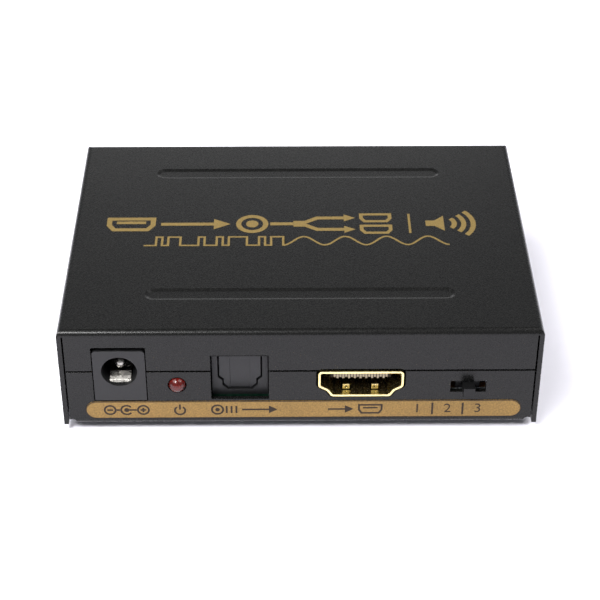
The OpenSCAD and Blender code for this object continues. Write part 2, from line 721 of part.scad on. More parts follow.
module optical_shutter() color("#414143") in_frame() translate([optical_x, 0, 0]) difference() {
    union() {
        along_y(shutter_y0, shutter_y0 + shutter_t) polygon(shutter_outline());
        rod_x(pivot_y, pivot_z, -shutter_half_w, shutter_half_w, knuckle_r);
    }
    rod_x(pivot_y, pivot_z, -case_w, case_w, pivot_r + running);
    block([-spring_gap_half_w, pivot_y - spring_gap_r, pivot_z - spring_gap_r],
        [spring_gap_half_w, pivot_y + knuckle_r + over, pivot_z + knuckle_r + over]);
    // Shallow sunk panel down the middle of its face
    block([-shutter_rib_half_w, shutter_y0 - over, shutter_foot_z - over],
        [shutter_rib_half_w, shutter_y0 + shutter_rib_depth, shutter_foot_z + shutter_l * shutter_rib_share]);
}

module shutter_pivot() color("#c2c4c6") in_frame() translate([optical_x, 0, 0])
    rod_x(pivot_y, pivot_z, -pocket_half_w - pivot_seat + snug, pocket_half_w + pivot_seat - snug, pivot_r);

// Torsion spring: legs along the ceiling and down the shutter's back, joined by a coil about the pivot
spring_sides = 6;
spring_rings_a_turn = 12;
spring_rings = spring_turns * spring_rings_a_turn;
function spring_coil_point(i) = let (a = 90 + 360 * i / spring_rings_a_turn)
    [spring_pitch * (i / spring_rings_a_turn - spring_turns / 2),
     -spring_coil_r * cos(a), spring_coil_r * sin(a)];
function spring_path() = concat(
    [spring_coil_point(0) + [0, spring_leg, 0]],
    [for (i = [0 : spring_rings]) spring_coil_point(i)],
    [spring_coil_point(spring_rings) - [0, 0, spring_leg]]);
module wire(path, r) {
    n = len(path);
    rings = [for (i = [0 : n - 1]) let (
        d = path[min(i + 1, n - 1)] - path[max(i - 1, 0)],
        t = d / norm(d),
        u0 = cross(t, [1, 0, 0]), u = u0 / norm(u0), v = cross(t, u))
        for (k = [0 : spring_sides - 1]) let (a = 360 * k / spring_sides)
            path[i] + r * (cos(a) * u + sin(a) * v)];
    polyhedron(rings, concat(
        [[for (k = [0 : spring_sides - 1]) k]],
        [for (i = [0 : n - 2], k = [0 : spring_sides - 1]) let (
            a = i * spring_sides + k, b = i * spring_sides + (k + 1) % spring_sides)
            each [[a, a + spring_sides, b], [b, a + spring_sides, b + spring_sides]]],
        [[for (k = [spring_sides - 1 : -1 : 0]) (n - 1) * spring_sides + k]]));
}
module shutter_spring() color("#b9bbbd") in_frame()
    translate([optical_x, pivot_y, pivot_z]) wire(spring_path(), spring_wire_r);

module optical_emitter() color("#232326") in_frame() translate([optical_x, 0, emitter_z()]) {
    difference() {
        union() {
            block([-emitter_half_w, pocket_y1, -emitter_half_h],
                [emitter_half_w, optical_y1, emitter_half_h]);
            rod_y(0, 0, pocket_y1 - emitter_barrel_l, pocket_y1, emitter_barrel_r);
        }
        rod_y(0, 0, pocket_y1 - emitter_barrel_l - over,
            pocket_y1 - emitter_barrel_l + emitter_bore_depth, emitter_bore_r);
    }
    for (i = [-1 : 1]) {
        block([i * emitter_lead_pitch - led_lead_w / 2, optical_y1, -led_lead_w / 2],
            [i * emitter_lead_pitch + led_lead_w / 2, optical_y1 + led_lead_w, led_lead_w / 2]);
        block([i * emitter_lead_pitch - led_lead_w / 2, optical_y1, tail_z - emitter_z()],
            [i * emitter_lead_pitch + led_lead_w / 2, optical_y1 + led_lead_w, led_lead_w / 2]);
    }
}

// Video sockets, drawn facing the front with their middle at the origin of the panel plane

// The shell's outline, wide at the top and stepped in at the foot, grown by g
function video_half_outline() = [
    [video_half_w * video_foot_x_share, -video_half_h],
    [video_half_w * video_step_x_share, -video_half_h * video_step_z_share],
    [video_half_w, -video_half_h * video_side_share],
    [video_half_w, video_half_h]];
function video_outline(g) = let (h = video_half_outline())
    rounded(grown(concat([for (p = h) p], [for (i = [len(h) - 1 : -1 : 0]) [-h[i][0], h[i][1]]]), g),
        video_corner_r, g);

module video_place(x, rear) {
    translate([x, rear ? case_d : 0, board_z + video_centre_h]) rotate([0, 0, rear ? 180 : 0]) children();
}

// Spring fingers: strips cut free in the shell's floor and ceiling and bent inwards
module finger_windows() {
    for (x = [-finger_x, finger_x]) block(
        [x - finger_w / 2 - finger_slot_gap, finger_tip_y - finger_t - finger_slot_gap, -2 * video_half_h],
        [x + finger_w / 2 + finger_slot_gap, finger_root_y, 2 * video_half_h]);
}
module fingers() {
    root_z = video_half_h - video_shell_t;
    tip_z = root_z - finger_rise;
    for (x = [-finger_x, finger_x]) for (s = [-1, 1]) {
        along_x(x - finger_w / 2, x + finger_w / 2) polygon([
            [finger_root_y + finger_t, s * (root_z + finger_t)], [finger_root_y + finger_t, s * root_z],
            [finger_tip_y, s * tip_z], [finger_tip_y, s * (tip_z + finger_t)]]);
        // The tip is turned across the mouth and pierced
        translate([x, 0, s * (tip_z + finger_t - finger_pad_h / 2)]) difference() {
            block([-finger_pad_w / 2, finger_tip_y - finger_t, -finger_pad_h / 2],
                [finger_pad_w / 2, finger_tip_y, finger_pad_h / 2]);
            block([-finger_pad_hole / 2, finger_tip_y - finger_t - over, -finger_pad_hole / 2],
                [finger_pad_hole / 2, finger_tip_y + over, finger_pad_hole / 2]);
        }
    }
}

module video_shell() {
    difference() {
        along_y(-video_out, video_depth) polygon(video_outline(0));
        along_y(-video_out - over, video_depth + over) polygon(video_outline(-video_shell_t));
        finger_windows();
    }
    fingers();
    for (s = [-1, 1]) for (y = video_leg_ys)
        block([s * (video_half_w - video_shell_t / 2) - video_shell_t / 2, y - video_leg_w / 2,
                tail_z - board_z - video_centre_h],
            [s * (video_half_w - video_shell_t / 2) + video_shell_t / 2, y + video_leg_w / 2, 0]);
}

// The contacts on the tongue's upper and lower faces: how many, and from which height to which
tongue_high = tongue_low + tongue_t;
video_contact_rows = [[video_contact_top_n, tongue_high, tongue_high + video_contact_t],
    [video_contact_top_n - 1, tongue_low - video_contact_t, tongue_low]];

module video_insulator() {
    difference() {
        union() {
            along_y(video_mouth, video_depth) polygon(video_outline(-video_shell_t - snug));
            block([-tongue_half_w, tongue_setback, tongue_low], [tongue_half_w, video_mouth, tongue_high]);
        }
        for (row = video_contact_rows) for (i = [0 : row[0] - 1])
            translate([(i - (row[0] - 1) / 2) * video_contact_pitch, 0, 0])
                block([-video_contact_w / 2 - snug, video_mouth - over, row[1] - (row[1] < 0 ? snug : 0)],
                    [video_contact_w / 2 + snug, video_depth + over, row[2] + (row[1] < 0 ? 0 : snug)]);
    }
}

module video_contacts() {
    for (row = video_contact_rows) for (i = [0 : row[0] - 1])
        translate([(i - (row[0] - 1) / 2) * video_contact_pitch, 0, 0]) {
            block([-video_contact_w / 2, tongue_setback - video_contact_t, row[1]],
                [video_contact_w / 2, video_depth + snug + video_contact_t, row[2]]);
            // Turned over the tongue's front edge
            block([-video_contact_w / 2, tongue_setback - video_contact_t,
                    min(row[2], tongue_high - video_contact_lip)],
                [video_contact_w / 2, tongue_setback, max(row[1], tongue_low + video_contact_lip)]);
            block([-video_contact_w / 2, video_depth + snug, -video_centre_h],
                [video_contact_w / 2, video_depth + snug + video_contact_t, row[2]]);
            block([-video_contact_w / 2, video_depth + snug, -video_centre_h],
                [video_contact_w / 2, video_depth + video_contact_foot, -video_centre_h + video_contact_t]);
        }
}

module video_in_shell() color("#cdb877") in_frame() video_place(video_in_x, false) video_shell();
module video_in_insulator() color("#1d1a18") in_frame() video_place(video_in_x, false) video_insulator();
module video_in_contacts() color("#b9a37a") in_frame() video_place(video_in_x, false) video_contacts();
module video_out1_shell() color("#cdb877") in_frame() video_place(video_out1_x, true) video_shell();
module video_out1_insulator() color("#1d1a18") in_frame() video_place(video_out1_x, true) video_insulator();
module video_out1_contacts() color("#b9a37a") in_frame() video_place(video_out1_x, true) video_contacts();
module video_out2_shell() color("#cdb877") in_frame() video_place(video_out2_x, true) video_shell();
module video_out2_insulator() color("#1d1a18") in_frame() video_place(video_out2_x, true) video_insulator();
module video_out2_contacts() color("#b9a37a") in_frame() video_place(video_out2_x, true) video_contacts();

// Phono sockets

module phono_housing() color("#2a2a2c") in_frame() difference() {
    block([phono_x - phono_pitch / 2 - phono_block_w / 2, phono_y0, board_z],
        [phono_x + phono_pitch / 2 + phono_block_w / 2, phono_y1, board_z + phono_block_h]);
    for (x = phono_xs()) rod_y(x, phono_z, phono_y0 - over, phono_y1 + over, phono_collar_r + snug);
}

// One barrel with its ground terminal behind the housing
module phono_shell(x, side) {
    difference() {
        union() {
            rod_y(x, phono_z, phono_y0, case_d + phono_out, phono_r);
            rod_y(x, phono_z, phono_y0, case_d + phono_collar_out, phono_collar_r);
        }
        rod_y(x, phono_z, phono_y0 - over, case_d + phono_out + over, phono_bore_r);
    }
    difference() {
        block([x + side * phono_ground_x - phono_lead_w / 2, phono_y0 - phono_lead_t, tail_z],
            [x + side * phono_ground_x + phono_lead_w / 2, phono_y0, phono_z - phono_ground_x / 2]);
        rod_y(x, phono_z, phono_y0 - 2 * phono_lead_t, phono_y0 + phono_lead_t,
            phono_contact_r + phono_lead_t);
    }
}

module phono_insulator(x) difference() {
    rod_y(x, phono_z, phono_y0, case_d + phono_out - phono_face_inset, phono_bore_r - snug);
    rod_y(x, phono_z, phono_y0 - over, case_d + phono_out, phono_hole_r);
    rod_y(x, phono_z, phono_y0 - over, case_d + phono_out - phono_face_inset - phono_hole_depth,
        phono_contact_r + snug);
}

module phono_contact(x) {
    y1 = case_d + phono_out - phono_face_inset - phono_hole_depth - snug;
    difference() {
        rod_y(x, phono_z, phono_y0 - phono_lead_t, y1, phono_contact_r);
        rod_y(x, phono_z, y1 - phono_contact_l, y1 + over, phono_hole_r);
    }
    block([x - phono_lead_w / 2, phono_y0 - 2 * phono_lead_t, tail_z],
        [x + phono_lead_w / 2, phono_y0 - phono_lead_t, phono_z + phono_contact_r / 2]);
}

module phono_left_shell() color("#c8c9ca") in_frame() phono_shell(phono_xs()[1], 1);
module phono_right_shell() color("#c8c9ca") in_frame() phono_shell(phono_xs()[0], -1);
module phono_left_insulator() color("#e9e7e1") in_frame() phono_insulator(phono_xs()[1]);
module phono_right_insulator() color("#b3242a") in_frame() phono_insulator(phono_xs()[0]);
module phono_left_contact() color("#c9b27c") in_frame() phono_contact(phono_xs()[1]);
module phono_right_contact() color("#c9b27c") in_frame() phono_contact(phono_xs()[0]);

// Mode switch, drawn about its lever's middle on the panel plane

module switch_place() {
    translate([switch_x, 0, switch_z]) children();
}
switch_back_y = switch_y0 + frame_t + switch_depth;
switch_cavity_y1 = switch_y0 + frame_t + carriage_d + lever_gap + wiper_t + wiper_bump + lever_gap;

module mode_switch_frame() color("#b2b5b7") in_frame() switch_place() {
    difference() {
        block([-switch_half_w - frame_t, switch_y0, -switch_centre_h],
            [switch_half_w + frame_t, switch_back_y, switch_half_h + frame_t]);
        block([-switch_half_w, switch_y0 + frame_t, -switch_centre_h - over],
            [switch_half_w, switch_back_y + over, switch_half_h]);
        block([-slot_half_w, switch_y0 - over, -slot_half_h],
            [slot_half_w, switch_y0 + over + frame_t, slot_half_h]);
    }
    for (x = [-1, 1] * (switch_half_w + frame_t / 2))
        block([x - frame_t / 2, switch_y0 + switch_depth / 2, tail_z - switch_z],
            [x + frame_t / 2, switch_y0 + switch_depth / 2 + switch_leg_w, 0]);
}

module mode_switch_base() color("#4a4038") in_frame() switch_place() difference() {
    block([snug - switch_half_w, switch_y0 + frame_t, -switch_centre_h],
        [switch_half_w - snug, switch_back_y, switch_half_h - snug]);
    block([switch_wall - switch_half_w, switch_y0 + frame_t - over, -carriage_h / 2 - lever_gap],
        [switch_half_w - switch_wall, switch_cavity_y1, carriage_h / 2 + lever_gap]);
    for (x = switch_terminal_xs())
        block([x - switch_terminal_w / 2 - snug, switch_cavity_y1 - over, -switch_centre_h - over],
            [x + switch_terminal_w / 2 + snug, switch_cavity_y1 + switch_terminal_t + snug,
                wiper_h / 2 + snug]);
}
function switch_terminal_xs() = [for (i = [0 : switch_terminal_n - 1])
    (i - (switch_terminal_n - 1) / 2) * switch_terminal_pitch];

module mode_switch_terminals() color("#c3b58c") in_frame() switch_place() for (x = switch_terminal_xs())
    block([x - switch_terminal_w / 2, switch_cavity_y1, tail_z - switch_z],
        [x + switch_terminal_w / 2, switch_cavity_y1 + switch_terminal_t, wiper_h / 2]);

module mode_switch_lever() color("#161617") in_frame() switch_place() {
    block([-carriage_w / 2, switch_y0 + frame_t + lever_gap, -carriage_h / 2],
        [carriage_w / 2, switch_y0 + frame_t + carriage_d, carriage_h / 2]);
    block([-lever_w / 2, -lever_out, -lever_h / 2],
        [lever_w / 2, switch_y0 + frame_t + carriage_d, lever_h / 2]);
}

module mode_switch_wiper() color("#caa65a") in_frame() switch_place() {
    y0 = switch_y0 + frame_t + carriage_d;
    block([-wiper_w / 2, y0, -wiper_h / 2], [wiper_w / 2, y0 + wiper_t, wiper_h / 2]);
    for (s = [-1, 1]) translate([s * switch_terminal_pitch / 2, y0 + wiper_t, 0]) intersection() {
        sphere(r = wiper_bump);
        block([-wiper_bump, -wiper_t, -wiper_bump], [wiper_bump, wiper_bump, wiper_bump]);
    }
}

// Main board and what is soldered to it

// A place on the board's top, as shares of its width and depth from its front left corner
function on_board(share) =
    [board_place[0] + board_w * share[0], board_place[1] + board_d * share[1], board_z];

// Cuts down through the board for a lead of the given width and depth about x, y
module lead_cut(x, y, w, d) {
    block([x - w / 2 - lead_gap, y - d / 2 - lead_gap, board_z0 - over],
        [x + w / 2 + lead_gap, y + d / 2 + lead_gap, board_z + over]);
}

electrolytic_r = 2.5;
electrolytic_h = 7;
electrolytic_lead_r = 0.3;
electrolytic_lead_pitch = 2;
electrolytic_score = 0.3;
// Beside the board screws, the front pair just behind the power socket's depth
electrolytic_gap = 1;
electrolytic_x = board_screw_x - board_head_r - electrolytic_gap - electrolytic_r;
electrolytic_front_y = dc_depth + dc_leaf_t + electrolytic_gap / 2 + electrolytic_r;
electrolytic_rear_share = 0.68;
electrolytic_ys = [electrolytic_front_y, board_y0 + board_d * electrolytic_rear_share];
electrolytic_places = [for (s = [-1, 1], y = electrolytic_ys) [s * electrolytic_x, y, board_z]];
crystal_place_shares = [[0.5, 0.735], [0.875, 0.504]];
crystal_l = 11;
crystal_w = 4.6;
crystal_h = 3.5;
crystal_lead_pitch = 4.88;
splitter_place_share = [0.5, 0.5];
audio_place_share = [0.255, 0.401];
dac_place_share = [0.698, 0.676];
microcontroller_place_share = [0.738, 0.418];
memory_x_shares = [0.487, 0.61];
memory_place_share = [0.315, 0.624];
regulator_place_shares = [[0.11, 0.436], [0.11, 0.556]];
inductor_place_shares = [[0.242, 0.573], [0.242, 0.693]];
esd_place_shares = [[0.672, 0.244], [0.722, 0.244], [0.09, 0.775], [0.196, 0.775],
    [0.342, 0.775], [0.39, 0.775]];

module main_board() color("#1f5b3c") in_frame() difference() {
    block([-board_w / 2, board_y0, board_z0], [board_w / 2, board_y1, board_z]);
    for (p = board_screw_places) translate([p[0], p[1], board_z0 - over])
        cylinder(h = board_t + 2 * over, r = board_screw_r + board_hole_gap);
    lead_cut(dc_x, dc_leaf_y1 + dc_leaf_t / 2, dc_terminal_w, dc_leaf_t);
    lead_cut(dc_x, dc_depth + dc_leaf_t / 2, dc_tail_plate_w, dc_leaf_t);
    lead_cut(dc_x + dc_w / 2 + dc_leaf_t / 2, dc_contact_y + dc_contact_w / 2, dc_leaf_t, dc_contact_w);
    for (s = [-1, 1]) lead_cut(led_x + s * led_lead_pitch / 2, led_y1 + led_lead_back - led_lead_w / 2,
        led_lead_w, led_lead_w);
    for (i = [-1 : 1]) lead_cut(optical_x + i * emitter_lead_pitch, optical_y1 + led_lead_w / 2,
        led_lead_w, led_lead_w);
    for (p = [[video_in_x, false], [video_out1_x, true], [video_out2_x, true]], s = [-1, 1], y = video_leg_ys)
        lead_cut(p[0] + s * (video_half_w - video_shell_t / 2), p[1] ? case_d - y : y,
            video_shell_t, video_leg_w);
    for (i = [0, 1]) {
        lead_cut(phono_xs()[i] + (2 * i - 1) * phono_ground_x, phono_y0 - phono_lead_t / 2,
            phono_lead_w, phono_lead_t);
        lead_cut(phono_xs()[i], phono_y0 - phono_lead_t - phono_lead_t / 2, phono_lead_w, phono_lead_t);
    }
    for (x = switch_terminal_xs()) lead_cut(switch_x + x, switch_cavity_y1 + switch_terminal_t / 2,
        switch_terminal_w, switch_terminal_t);
    for (s = [-1, 1]) lead_cut(switch_x + s * (switch_half_w + frame_t / 2),
        switch_y0 + switch_depth / 2 + switch_leg_w / 2, frame_t, switch_leg_w);
    for (p = electrolytic_places, s = [-1, 1])
        translate(p + [s * electrolytic_lead_pitch / 2, 0, -board_t - over])
            cylinder(h = board_t + 2 * over, r = electrolytic_lead_r + lead_gap);
    for (share = crystal_place_shares, s = [-1, 1])
        translate(on_board(share) + [s * crystal_lead_pitch / 2, 0, -board_t - over])
            cylinder(h = board_t + 2 * over, r = electrolytic_lead_r + lead_gap);
}

// A gull-wing lead's outline from a package's side to the board
module lead_row(n, pitch, lead_w, shoulder_z) {
    for (i = [0 : n - 1]) translate([(i - (n - 1) / 2) * pitch - lead_w / 2, 0, 0])
        along_x(0, lead_w) polygon([
            [-flat_lead_t, shoulder_z], [-flat_lead_t, shoulder_z - flat_lead_t],
            [flat_lead_knee - flat_lead_t, shoulder_z - flat_lead_t], [flat_lead_knee, 0],
            [flat_lead_reach, 0], [flat_lead_reach, flat_lead_t],
            [flat_lead_knee + flat_lead_t, flat_lead_t], [flat_lead_knee, shoulder_z]]);
}

// A moulded package with leads along the sides that face +-Y, or along all four
module flat_pack(w, d, h, n, pitch, lead_w, sides) {
    block([-w / 2, -d / 2, chip_stand], [w / 2, d / 2, h]);
    for (k = [0 : sides - 1]) let (a = sides == 2 ? 180 * k : 90 * k) rotate([0, 0, a])
        translate([0, (a % 180 == 0 ? d : w) / 2, 0]) lead_row(n, pitch, lead_w, h / 2);
}

splitter_w = 14;
splitter_h = 1.5;
splitter_lead_n = 20;
splitter_pitch = 0.6;
fine_lead_w = 0.25;
module splitter_chip() color("#26272a") in_frame() translate(on_board(splitter_place_share))
    flat_pack(splitter_w, splitter_w, splitter_h, splitter_lead_n, splitter_pitch, fine_lead_w, 4);

audio_w = 9;
audio_lead_n = 12;
module audio_chip() color("#26272a") in_frame() translate(on_board(audio_place_share))
    flat_pack(audio_w, audio_w, splitter_h, audio_lead_n, splitter_pitch, fine_lead_w, 4);

dac_w = 5;
dac_d = 4.4;
dac_lead_n = 7;
module audio_dac_chip() color("#26272a") in_frame() translate(on_board(dac_place_share))
    flat_pack(dac_w, dac_d, splitter_h, dac_lead_n, splitter_pitch, fine_lead_w, 2);

microcontroller_w = 7;
microcontroller_lead_n = 8;
microcontroller_pitch = 0.8;
module microcontroller() color("#26272a") in_frame() translate(on_board(microcontroller_place_share))
    flat_pack(microcontroller_w, microcontroller_w, splitter_h, microcontroller_lead_n,
        microcontroller_pitch, fine_lead_w, 4);

memory_w = 4.9;
memory_d = 3.9;
memory_lead_n = 4;
memory_pitch = 1.27;
memory_lead_w = 0.4;
// Two just behind the video input, the second clear of its contacts' feet, and one by the audio chip
memory_gap = 0.4;
memory_y = video_depth + memory_gap + flat_lead_reach + memory_d / 2;
memory_places = concat([for (i = [0, 1])
    [board_place[0] + board_w * memory_x_shares[i], memory_y + i * video_contact_foot, board_z]],
    [on_board(memory_place_share)]);
module memory_chips() color("#26272a") in_frame() for (p = memory_places) translate(p)
        flat_pack(memory_w, memory_d, splitter_h, memory_lead_n, memory_pitch, memory_lead_w, 2);

regulator_w = 6.5;
regulator_d = 3.5;
regulator_h = 1.7;
regulator_lead_n = 3;
regulator_pitch = 2.3;
regulator_lead_w = 0.7;
module voltage_regulators() color("#26272a") in_frame() for (share = regulator_place_shares)
    translate(on_board(share))
        flat_pack(regulator_w, regulator_d, regulator_h, regulator_lead_n,
            regulator_pitch, regulator_lead_w, 2);

esd_w = 2.5;
esd_d = 1.3;
esd_h = 0.7;
esd_lead_n = 4;
module esd_arrays() color("#26272a") in_frame() for (share = esd_place_shares)
    translate(on_board(share)) flat_pack(esd_w, esd_d, esd_h, esd_lead_n, splitter_pitch, fine_lead_w, 2);

module crystals() color("#c6c8ca") in_frame() for (share = crystal_place_shares) translate(on_board(share)) {
    reach = (crystal_l - crystal_w) / 2;
    for (s = [-1, 1]) translate([s * reach, 0, 0]) cylinder(h = crystal_h, r = crystal_w / 2);
    block([-reach, -crystal_w / 2, 0], [reach, crystal_w / 2, crystal_h]);
    for (s = [-1, 1]) translate([s * crystal_lead_pitch / 2, 0, -board_t - lead_tail])
        cylinder(h = board_t + lead_tail + crystal_h / 2, r = electrolytic_lead_r);
}

module electrolytic_capacitors() color("#2c3b52") in_frame() for (p = electrolytic_places)
    translate(p) {
        difference() {
            cylinder(h = electrolytic_h, r = electrolytic_r);
            translate([0, 0, electrolytic_h - electrolytic_score])
                cross_recess(electrolytic_r / 2, electrolytic_score, electrolytic_score + over);
        }
        for (s = [-1, 1]) translate([s * electrolytic_lead_pitch / 2, 0, -board_t - lead_tail])
            cylinder(h = board_t + lead_tail + electrolytic_h / 2, r = electrolytic_lead_r);
    }

inductor_w = 5;
inductor_h = 3.6;
inductor_edge = 0.8;
module power_inductors() color("#4b4b4d") in_frame() for (share = inductor_place_shares)
    translate(on_board(share)) linear_extrude(inductor_h)
        polygon(rounded(box_outline(-inductor_w / 2, -inductor_w / 2, inductor_w / 2, inductor_w / 2),
            inductor_edge));

// Rows of small parts: start, step and how many
chip_l = 1.6;
chip_w = 0.8;
chip_h = 0.7;
resistor_h = 0.45;
chip_gap = 0.8;
chip_pitch = chip_w + chip_gap;
column_pitch = chip_l + chip_gap;
chip_row_gap = 0.35;
switch_row_gap = 2;
splitter_at = on_board(splitter_place_share);
splitter_reach = splitter_w / 2 + flat_lead_reach + chip_row_gap + chip_w / 2;
capacitor_rows = [
    [[switch_x - 4 * chip_pitch, switch_back_y + switch_row_gap, board_z], [chip_pitch, 0, 0], 7],
    [splitter_at + [splitter_reach, -2.5 * column_pitch, 0], [0, column_pitch, 0], 6],
    [[optical_x - chip_pitch, optical_y1 + led_lead_w + chip_row_gap + chip_l / 2, board_z],
        [chip_pitch, 0, 0], 5]];
resistor_row_shares = [[0.678, 0.582], [0.632, 0.77]];
resistor_rows = [
    [splitter_at - [splitter_reach, 2.5 * column_pitch, 0], [0, column_pitch, 0], 6],
    [on_board(resistor_row_shares[0]), [chip_pitch, 0, 0], 6],
    [on_board(resistor_row_shares[1]), [chip_pitch, 0, 0], 8]];
module chip_rows(rows, h) {
    for (row = rows) for (i = [0 : row[2] - 1]) translate(row[0] + i * row[1])
        block([-chip_w / 2, -chip_l / 2, 0], [chip_w / 2, chip_l / 2, h]);
}
module chip_capacitors() color("#a78a68") in_frame() chip_rows(capacitor_rows, chip_h);
module chip_resistors() color("#2b2b2d") in_frame() chip_rows(resistor_rows, resistor_h);

base_tray();
top_cover();
cover_screws();
board_standoffs();
board_screws();
rubber_feet();
front_legend_strip();
rear_legend_strip();
main_board();
splitter_chip();
audio_chip();
audio_dac_chip();
microcontroller();
memory_chips();
voltage_regulators();
crystals();
electrolytic_capacitors();
power_inductors();
chip_capacitors();
chip_resistors();
esd_arrays();
dc_jack_body();
dc_jack_pin();
dc_jack_spring();
dc_jack_switch_contact();
power_led_lens();
power_led_leads();
optical_housing();
optical_shutter();
shutter_pivot();
shutter_spring();
optical_emitter();
video_in_shell();
video_in_insulator();
video_in_contacts();
video_out1_shell();
video_out1_insulator();
video_out1_contacts();
video_out2_shell();
video_out2_insulator();
video_out2_contacts();
phono_housing();
phono_left_shell();
phono_right_shell();
phono_left_insulator();
phono_right_insulator();
phono_left_contact();
phono_right_contact();
mode_switch_frame();
mode_switch_base();
mode_switch_terminals();
mode_switch_lever();
mode_switch_wiper();
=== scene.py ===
"""Video splitter with optical and phono audio outputs, in a folded black steel case.

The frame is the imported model's: the origin is on the surface that the part stands on, the front panel faces
-Y, +X is to the right and +Z is up. Blender works in metres. Small lengths are written in millimetres and
turned to metres by MM.
"""
import json
import math

import bpy
from mathutils import Matrix, Vector


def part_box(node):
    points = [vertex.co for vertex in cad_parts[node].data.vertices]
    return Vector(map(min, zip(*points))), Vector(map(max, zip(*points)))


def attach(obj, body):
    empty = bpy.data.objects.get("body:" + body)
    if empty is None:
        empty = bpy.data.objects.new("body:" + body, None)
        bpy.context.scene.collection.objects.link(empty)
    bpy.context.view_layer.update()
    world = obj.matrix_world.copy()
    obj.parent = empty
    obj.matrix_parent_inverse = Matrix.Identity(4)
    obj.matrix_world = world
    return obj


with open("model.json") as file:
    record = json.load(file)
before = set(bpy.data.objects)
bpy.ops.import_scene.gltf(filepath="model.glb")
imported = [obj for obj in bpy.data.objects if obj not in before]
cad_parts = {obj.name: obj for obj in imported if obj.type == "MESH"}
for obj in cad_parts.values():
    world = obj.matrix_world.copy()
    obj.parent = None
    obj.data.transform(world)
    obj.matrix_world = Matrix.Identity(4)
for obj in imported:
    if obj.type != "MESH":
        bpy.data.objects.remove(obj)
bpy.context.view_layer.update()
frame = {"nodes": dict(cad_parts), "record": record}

MM = 0.001
nodes = frame["nodes"]
scene = bpy.context.scene

# The folded case, and the label films on its two panels
case_low, case_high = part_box("top_cover")
front_strip_low, front_strip_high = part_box("front_legend_strip")
rear_strip_low, rear_strip_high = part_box("rear_legend_strip")
FRONT_Y = case_low.y
FOOT_H = case_low.z
TOP_Z = case_high.z


# Camera, floor and light

# The camera's place in millimetres, and its angles in degrees: down, to the right and about its own axis
CAMERA_PLACE = (-2.77, -268.04, 199.02)
CAMERA_TURN = (36.058, 0.646, -0.130)
LENS = 104.16
SENSOR_W = 36
CLIP_START = 0.01
FLOOR_SIZE = 3
PAPER_FIBRES_PER_METRE = 300
# Name, side in metres, place and aim in metres, and power in watts
SOFT_BOXES = (
    ("left_soft_box", 0.9, (-0.75, -0.1, 1.05), (0, 0, 0), 12.5),
    ("right_soft_box", 0.9, (0.75, 0.0, 1.05), (0, 0, 0), 15.0),
    # Puts the broad highlight on the left of the fold between the top and the front panel
    ("key_soft_box", 0.26, (-0.26, -0.5, 0.75), (0, 0, 0.01), 3.6),
    # Seen in the top as a slow fall of light from back to front
    ("low_back_box", 0.5, (-0.02, 1.2, 0.36), (0, 0, 0.02), 1.2),
    # Close to the left corner, so that the light falls off to the right
    ("near_left_box", 0.08, (-0.11, -0.16, 0.24), (-0.04, -0.04, 0.01), 0.68),
)
# The room's light near the horizon and at the ceiling, and the sines of the elevations it changes between
ROOM_COLOUR = "#eceef2"
ROOM_LEVEL = (0.42, 0.14)
ROOM_HEIGHT = (0.65, 0.85)


def place_camera():
    """A long lens in front of the case, looking down at the front panel and the top."""
    pitch, yaw, roll = (math.radians(a) for a in CAMERA_TURN)
    forward = Vector((math.sin(yaw) * math.cos(pitch), math.cos(yaw) * math.cos(pitch), -math.sin(pitch)))
    right = Vector((math.cos(yaw), -math.sin(yaw), 0))
    up = right.cross(forward)
    local_x = right * math.cos(roll) - up * math.sin(roll)
    local_y = right * math.sin(roll) + up * math.cos(roll)
    bpy.ops.object.camera_add(location=[c * MM for c in CAMERA_PLACE])
    camera = bpy.context.object
    camera.name = "camera"
    camera.rotation_euler = Matrix((local_x, local_y, -forward)).transposed().to_euler()
    camera.data.sensor_fit = "HORIZONTAL"
    camera.data.sensor_width = SENSOR_W
    camera.data.lens = LENS
    camera.data.clip_start = CLIP_START
    scene.camera = camera


def soft_light(name, size, place, aim, power):
    """A square soft box that faces a point and stays out of the camera's sight."""
    bpy.ops.object.light_add(type="AREA", location=place)
    lamp = bpy.context.object
    lamp.name = name
    lamp.data.shape = "SQUARE"
    lamp.data.size = size
    lamp.data.energy = power
    lamp.visible_camera = False
    lamp.rotation_euler = (Vector(aim) - Vector(place)).to_track_quat("-Z", "Y").to_euler()


def linear(hex_code, alpha=1.0):
    """An sRGB colour in hexadecimal as linear values."""
    channels = [int(hex_code[i:i + 2], 16) / 255 for i in (1, 3, 5)]
    return [c / 12.92 if c <= 0.04045 else ((c + 0.055) / 1.055) ** 2.4 for c in channels] + [alpha]


def add(tree, kind, settings=None, **inputs):
    """A node with its settings and links. An input is named as its socket, or _0, _1 and so on by its number.

    An input given as a socket is linked, and anything else is set."""
    node = tree.nodes.new(kind)
    for key, value in (settings or {}).items():
        setattr(node, key, value)
    for key, value in inputs.items():
        socket = node.inputs[int(key[1:])] if key[0] == "_" else node.inputs[key.replace("_", " ")]
        if isinstance(value, bpy.types.NodeSocket):
            tree.links.new(value, socket)
        else:
            socket.default_value = value
    return node


